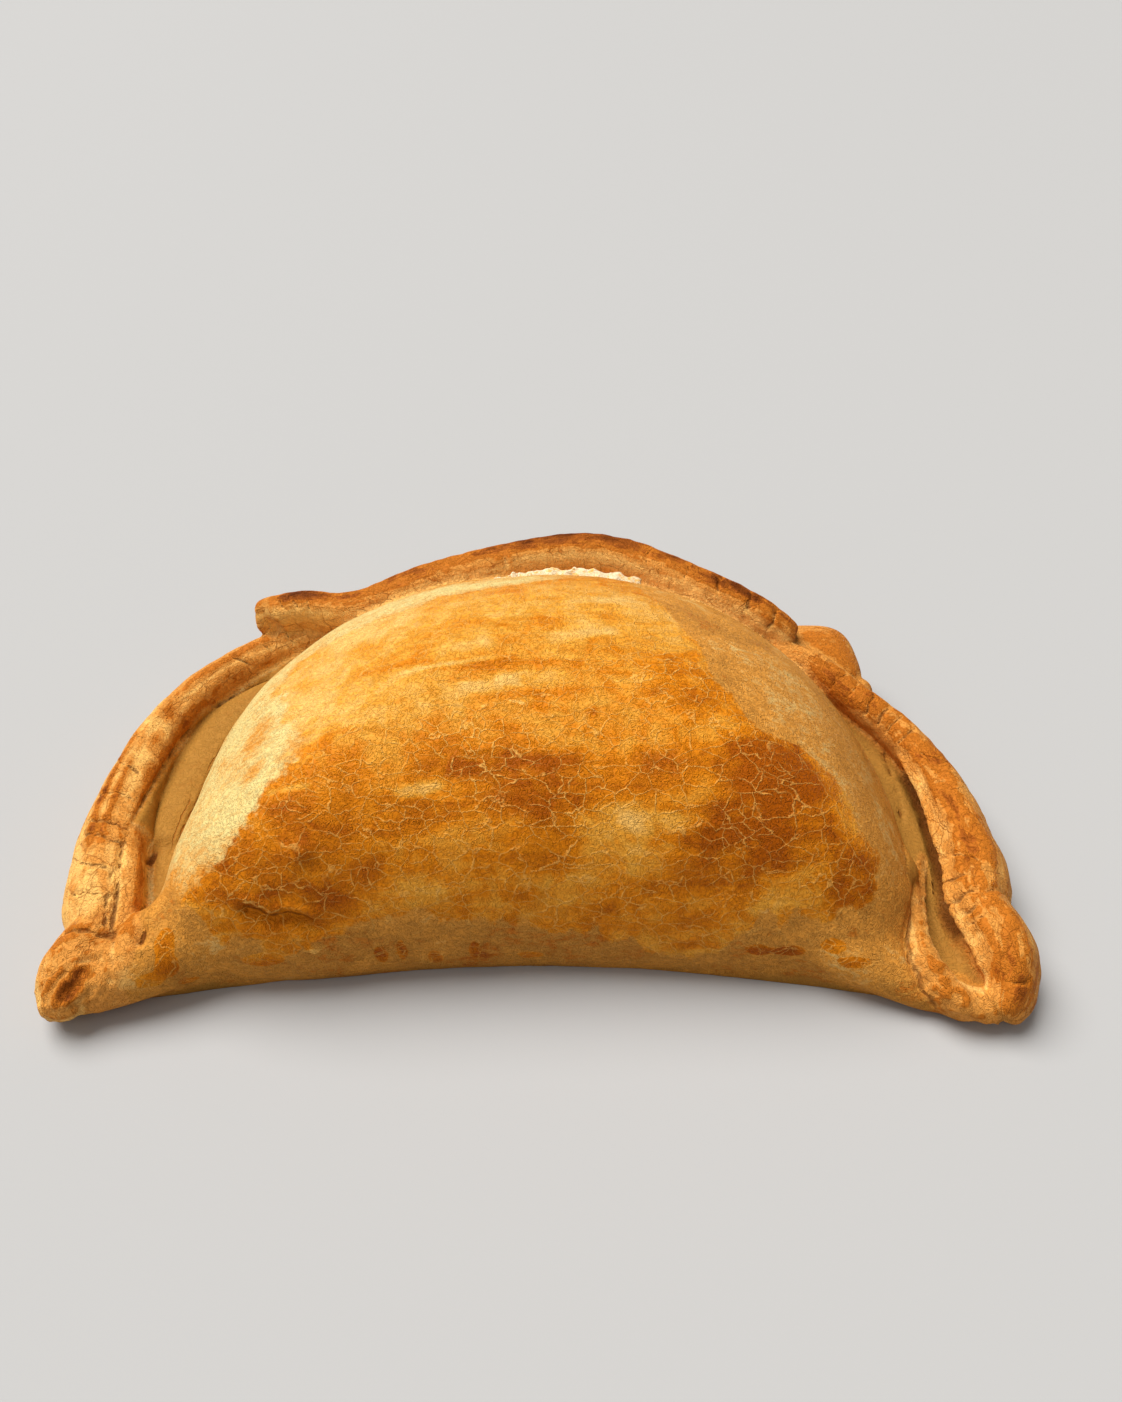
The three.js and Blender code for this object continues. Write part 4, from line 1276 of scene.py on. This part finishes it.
class Nodes:
    """Short ways to add and link shader nodes."""

    def __init__(self, name):
        self.material = bpy.data.materials.new(name)
        self.material.use_nodes = True
        self.tree = self.material.node_tree
        self.tree.nodes.clear()

    def fill(self, socket, value):
        """Links an output to a socket, or sets the socket's own value."""
        if isinstance(value, bpy.types.NodeSocket):
            self.tree.links.new(value, socket)
        else:
            socket.default_value = value

    def add(self, kind, inputs=None, **settings):
        node = self.tree.nodes.new(kind)
        for key, value in settings.items():
            setattr(node, key, value)
        for key, value in (inputs or {}).items():
            self.fill(node.inputs[key], value)
        return node

    def finish(self, **inputs):
        """The surface's shader, whose inputs are named with an underscore for a space."""
        shader = self.add("ShaderNodeBsdfPrincipled", {k.replace("_", " "): v for k, v in inputs.items()})
        self.add("ShaderNodeOutputMaterial", {"Surface": shader.outputs[0]})
        return self.material

    def math(self, operation, a, b=0.0, c=0.0, clamp=False):
        node = self.add("ShaderNodeMath", {0: a, 1: b, 2: c}, operation=operation, use_clamp=clamp)
        return node.outputs[0]

    def times(self, value, *others):
        """Product of values."""
        for other in others:
            value = self.math("MULTIPLY", value, other)
        return value

    def plus(self, value, *more):
        """Adds values to a value, each given with its amount."""
        for other, amount in more:
            value = self.math("MULTIPLY_ADD", other, amount, value)
        return value

    def swings(self, value, *noises):
        """Adds noises to a value, each given with its amount, so that they swing to both sides."""
        return self.plus(value, *((self.math("SUBTRACT", wave, 0.5), amount) for wave, amount in noises))

    def attribute(self, name):
        return self.add("ShaderNodeAttribute", attribute_name=name).outputs["Fac"]

    def noise(self, vector, scale, detail=2.0, roughness=0.5, distortion=0.0):
        node = self.add("ShaderNodeTexNoise", {
            "Vector": vector, "Scale": scale, "Detail": detail, "Roughness": roughness,
            "Distortion": distortion})
        return node.outputs["Fac"]

    def scaled(self, vector, scale):
        return self.add("ShaderNodeMapping", {"Vector": vector, "Scale": scale}).outputs[0]

    def ranged(self, value, low, high, to_low=0.0, to_high=1.0, smooth=True):
        node = self.add("ShaderNodeMapRange", {
            "Value": value, "From Min": low, "From Max": high, "To Min": to_low, "To Max": to_high},
            interpolation_type="SMOOTHSTEP" if smooth else "LINEAR")
        return node.outputs[0]

    def mix(self, share, a, b, blend="MIX"):
        """Goes from colour a to colour b by a share."""
        node = self.add("ShaderNodeMix", data_type="RGBA", blend_type=blend)
        self.fill(node.inputs[0], share)
        for socket, value in ((node.inputs[6], a), (node.inputs[7], b)):
            self.fill(socket, value if isinstance(value, bpy.types.NodeSocket) else (*value, 1.0))
        return node.outputs[2]

    def ramp(self, value, *stops):
        """Colours at their places along a value."""
        node = self.add("ShaderNodeValToRGB", {0: value})
        band = node.color_ramp
        while len(band.elements) < len(stops):
            band.elements.new(0.5)
        for element, (place, colour) in zip(band.elements, stops):
            element.position = place
            element.color = (*colour, 1.0)
        return node.outputs[0]

    def warped(self, vector, *drifts):
        """Moves a pattern about by soft noises, each of a size and an amount, so that its lines wander."""
        for size, amount in drifts:
            drift = self.add("ShaderNodeTexNoise", {"Vector": vector, "Scale": 1.0 / size, "Detail": 3.0})
            offset = self.add("ShaderNodeVectorMath", {
                0: drift.outputs["Color"], 1: (0.5, 0.5, 0.5)}, operation="SUBTRACT")
            vector = self.add("ShaderNodeVectorMath", {
                0: offset.outputs[0], 1: (amount,) * 3, 2: vector}, operation="MULTIPLY_ADD").outputs[0]
        return vector

    def line(self, value, half):
        """A thin line with soft edges where a value is near nought."""
        return self.ranged(value, 0.3 * half, 1.3 * half, 1.0, 0.0)

    def stripe(self, value, at, half):
        """A thin line where a value passes a level."""
        return self.line(self.math("ABSOLUTE", self.math("SUBTRACT", value, at)), half)

    def net(self, vector, wide, tall, half):
        """A net of fine lines round cells of a width and height."""
        cells = self.add("ShaderNodeTexVoronoi", {
            "Vector": self.scaled(vector, (1.0 / wide, 1.0 / tall, 1.0 / tall)), "Scale": 1.0},
            feature="DISTANCE_TO_EDGE").outputs[0]
        return self.line(cells, half / tall)


def crackle_lines(n, mm, crackle):
    """Fine lines of the crackled glaze, in coarser and finer nets that fade in and out."""
    wandering = n.warped(mm, (9.0, 4.0), (3.0, 1.4), (1.2, 0.6))
    coarse = n.net(wandering, 5.0, 3.2, 0.085)
    fine = n.net(wandering, 3.0, 2.1, 0.075)
    finer = n.ranged(n.noise(mm, 0.10, 3.0), 0.47, 0.53)
    faint = n.ranged(n.noise(mm, 0.5, 3.0), 0.34, 0.52, 0.30, 1.0)
    return n.times(n.plus(coarse, (n.math("SUBTRACT", fine, coarse), finer)), faint, crackle)


def hem_bricks(n, mm, rolled, hem):
    """Hairline cracks that part the hems into blocks, here and there."""
    bricks = n.net(n.warped(rolled, (4.0, 2.0), (1.0, 0.5)), 5.0, 3.2, 0.08)
    return n.times(bricks, hem, n.ranged(n.noise(mm, 0.25, 2.0), 0.46, 0.56))


def floor_seams(n, mm, foot, fringe):
    """Fine lines on the left floor that follow the belly's foot."""
    strayed = n.swings(foot, (n.noise(mm, 0.4, 3.0), 1.2))
    seams = n.math("ADD", n.stripe(strayed, 0.8, 0.16), n.stripe(strayed, 1.8, 0.16))
    seams = n.math("ADD", seams, n.stripe(strayed, 2.9, 0.16), clamp=True)
    return n.times(seams, fringe, n.ranged(n.noise(mm, 0.3, 2.0), 0.40, 0.56))


def specks(n, mm):
    """A few small dark specks."""
    dots = n.add("ShaderNodeTexVoronoi", {"Vector": mm, "Scale": 0.24})
    chosen = n.add("ShaderNodeSeparateColor", {0: dots.outputs["Color"]}).outputs[0]
    return n.times(n.ranged(dots.outputs["Distance"], 0.04, 0.075, 1.0, 0.0), n.ranged(chosen, 0.62, 0.66))


def crust_material(colours):
    """Egg-glazed crust: browned in patches, crackled, finely grained, with bare dough and raw crumb."""
    n = Nodes("crust")
    mm = n.scaled(n.add("ShaderNodeTexCoord").outputs["Object"], (1.0 / MM,) * 3)
    layer = {name: n.attribute(name) for name in LAYERS}
    hem, valley = layer["hem"], layer["valley"]

    broad = n.noise(mm, 0.085, 6.0, 0.62, 0.5)
    fine = n.noise(mm, 0.5, 4.0, 0.65)
    patchy = n.noise(mm, 0.20, 3.0, 0.55, 0.9)
    grain = n.noise(mm, 1.8, 2.0, 0.6)
    streak = n.noise(n.scaled(mm, (0.03, 0.30, 0.30)), 1.0, 4.0, 0.6, 0.3)
    flecks = n.ranged(n.noise(n.scaled(mm, (0.45, 1.0, 1.0)), 1.0, 3.0, 0.6, 0.6), 0.43, 0.57)
    rolled = n.add("ShaderNodeCombineXYZ", {0: layer["run"], 1: n.times(layer["turn"], 6.0)}).outputs[0]
    stains = n.noise(n.scaled(rolled, (0.14, 0.50, 1.0)), 1.0, 3.0, 0.6, 0.5)
    leaves = n.noise(n.scaled(rolled, (0.10, 1.50, 1.0)), 1.0, 2.0, 0.5)

    level = n.swings(layer["bake"], (patchy, 0.36), (fine, 0.20), (broad, 0.7))
    brushed = n.swings(level, (streak, 0.30), (n.ranged(streak, 0.42, 0.58), 0.05),
                       (n.ranged(patchy, 0.46, 0.54), 0.06))
    glazed = n.ramp(brushed, (0.0, colours.pale), (0.30, colours.gold), (0.54, colours.amber),
                    (0.86, colours.brown))
    dough = n.ramp(n.swings(layer["bare"], (flecks, 0.16), (patchy, 0.6), (broad, 0.7)),
                   (0.0, colours.cream), (0.45, colours.dough), (0.76, colours.dough_brown),
                   (0.90, colours.hem_tan), (1.0, colours.hem_brown))
    # Darker dough in the hollows and the pocket: partly its own colour, partly painted shade.
    dough = n.mix(n.times(valley, 0.85), dough, colours.valley)
    folded = n.ramp(n.swings(level, (leaves, 0.15), (stains, 0.65)),
                    (0.16, colours.hem_pale), (0.36, colours.hem_gold), (0.48, colours.hem_gold),
                    (0.54, colours.hem_tan), (0.70, colours.hem_tan), (0.76, colours.hem_brown),
                    (1.0, colours.char))
    cover = n.ranged(n.swings(layer["glaze"], (fine, 0.7), (broad, 1.3)), 0.40, 0.60)
    colour = n.mix(hem, n.mix(cover, dough, glazed), folded)

    lines = crackle_lines(n, mm, layer["crackle"])
    bricks = hem_bricks(n, mm, rolled, hem)
    seams = floor_seams(n, mm, layer["foot"], layer["fringe"])
    colour = n.mix(n.times(lines, 0.80), colour, colours.crackle)
    colour = n.mix(n.times(bricks, 0.5), colour, colours.hem_brown)
    colour = n.mix(n.times(seams, 0.5), colour, colours.hem_brown)

    curl = n.math("ABSOLUTE", n.math("SUBTRACT", n.noise(mm, 0.8, 1.5, 0.5, 1.8), 0.5))
    curl = n.ranged(curl, 0.0, 0.055, 1.0, 0.0)
    tone = n.plus(n.ranged(grain, 0.3, 0.7, 0.89, 1.05, False), (curl, 0.11))
    tone = n.plus(tone, (n.math("SUBTRACT", 1.0, tone), n.times(valley, 0.7)))
    grey = n.add("ShaderNodeCombineColor", {0: tone, 1: tone, 2: tone}).outputs[0]
    colour = n.mix(1.0, colour, grey, "MULTIPLY")
    colour = n.mix(n.times(specks(n, mm), 0.55), colour, colours.hem_brown)

    colour = n.mix(n.ranged(n.swings(layer["flake"], (fine, 1.0)), 0.40, 0.62), colour, colours.crackle)
    torn = n.ranged(n.swings(layer["crumb"], (fine, 1.0)), 0.40, 0.62)
    raw = n.mix(n.ranged(n.swings(fine, (grain, 0.6)), 0.30, 0.52), colours.hem_pale, colours.crumb)
    colour = n.mix(torn, colour, raw)
    # Painted shade: crevices are darkened towards the dark crust colour.
    painted_shade = n.ranged(n.swings(layer["crevice"], (fine, 0.4)), 0.15, 0.85)
    colour = n.mix(n.times(painted_shade, 0.8), colour, colours.char)
    split = n.ranged(n.swings(layer["crack"], (fine, 0.5)), 0.10, 0.40, 1.0, 0.0)
    colour = n.mix(n.times(split, 0.65), colour, colours.char)

    rough = n.ranged(cover, 0.0, 1.0, colours.dough_roughness, colours.glaze_roughness, False)
    height = n.plus(n.times(grain, 0.7), (lines, 0.6), (curl, 0.9))
    height = n.times(height, n.ranged(valley, 0.0, 1.0, 1.0, 0.35))
    cut = n.math("MAXIMUM", split, seams)
    height = n.plus(height, (n.times(leaves, hem), 0.35), (bricks, -0.6), (cut, -1.0))
    bump = n.add("ShaderNodeBump", {"Strength": 0.7, "Distance": 0.0005, "Height": height}).outputs[0]
    return n.finish(Base_Color=colour, Roughness=n.swings(rough, (grain, 0.16)), Normal=bump,
                    Specular_IOR_Level=0.05)


def soft_light(name, towards, power, spread):
    """A wide, even light from a direction."""
    lamp = bpy.data.lights.new(name, "SUN")
    lamp.energy = power
    lamp.angle = spread
    light = in_scene(name, lamp)
    light.location = towards
    light.rotation_euler = Vector(towards).to_track_quat("Z", "Y").to_euler()


class EMPANADA_OT_crust(bpy.types.Operator):
    """Models the empanada's dough and gives it its baked crust"""

    bl_idname = "empanada.crust"
    bl_label = "Crust"

    def execute(self, context):
        mesh = build_crust(context.scene.empanada_sizes)
        mesh.name = "crust"
        mesh.materials.clear()
        mesh.materials.append(crust_material(context.scene.empanada_colours))
        piece = in_scene("crust", mesh)
        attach(piece, BODY)
        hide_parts(NODE)
        return {"FINISHED"}


class EMPANADA_OT_stage(bpy.types.Operator):
    """Sets the floor, the soft lights and the camera"""

    bl_idname = "empanada.stage"
    bl_label = "Stage"

    def execute(self, context):
        scene = context.scene
        stage = scene.empanada_stage
        bm = bmesh.new()
        bmesh.ops.create_grid(bm, x_segments=1, y_segments=1, size=FLOOR_HALF)
        floor = form_object("floor", bm)
        floor.data.materials.append(
            Nodes("floor").finish(Base_Color=(*stage.floor_colour, 1.0), Roughness=FLOOR_ROUGHNESS))
        soft_light("key", KEY["from"], stage.key_power, KEY["spread"])
        soft_light("fill", FILL["from"], stage.fill_power, FILL["spread"])
        world = bpy.data.worlds.new("surround")
        world.use_nodes = True
        background = world.node_tree.nodes["Background"]
        background.inputs["Color"].default_value = SKY_COLOUR
        background.inputs["Strength"].default_value = stage.sky
        scene.world = world
        camera = bpy.data.cameras.new("camera")
        camera.lens = stage.lens
        camera.sensor_width = CAMERA["sensor"]
        camera.clip_start = CAMERA["nearest"]
        eye = in_scene("camera", camera)
        eye.location = CAMERA["at"]
        eye.rotation_euler = (math.radians(CAMERA["tilt"]), 0.0, 0.0)
        scene.camera = eye
        scene.view_settings.view_transform = "Standard"
        return {"FINISHED"}


class EMPANADA_PT_panel(bpy.types.Panel):
    """Lists the empanada's sizes, colours and steps"""

    bl_idname = "EMPANADA_PT_panel"
    bl_label = "Empanada"
    bl_space_type = "VIEW_3D"
    bl_region_type = "UI"
    bl_category = "Empanada"

    def draw(self, context):
        layout = self.layout
        for group in GROUPS:
            settings = getattr(context.scene, group)
            box = layout.box()
            for name in settings.bl_rna.properties.keys():
                if name not in ("rna_type", "name"):
                    box.prop(settings, name)
        layout.operator(EMPANADA_OT_crust.bl_idname)
        layout.operator(EMPANADA_OT_stage.bl_idname)


GROUPS = {
    "empanada_sizes": EmpanadaSizes, "empanada_colours": EmpanadaColours,
    "empanada_stage": EmpanadaStage,
}
CLASSES = (*GROUPS.values(), EMPANADA_OT_crust, EMPANADA_OT_stage, EMPANADA_PT_panel)


def register():
    for cls in CLASSES:
        bpy.utils.register_class(cls)
    for group, cls in GROUPS.items():
        setattr(bpy.types.Scene, group, bpy.props.PointerProperty(type=cls))


def unregister():
    for group in GROUPS:
        delattr(bpy.types.Scene, group)
    for cls in reversed(CLASSES):
        bpy.utils.unregister_class(cls)


def main():
    register()
    bpy.ops.empanada.crust()
    bpy.ops.empanada.stage()


if __name__ == "__main__":
    main()
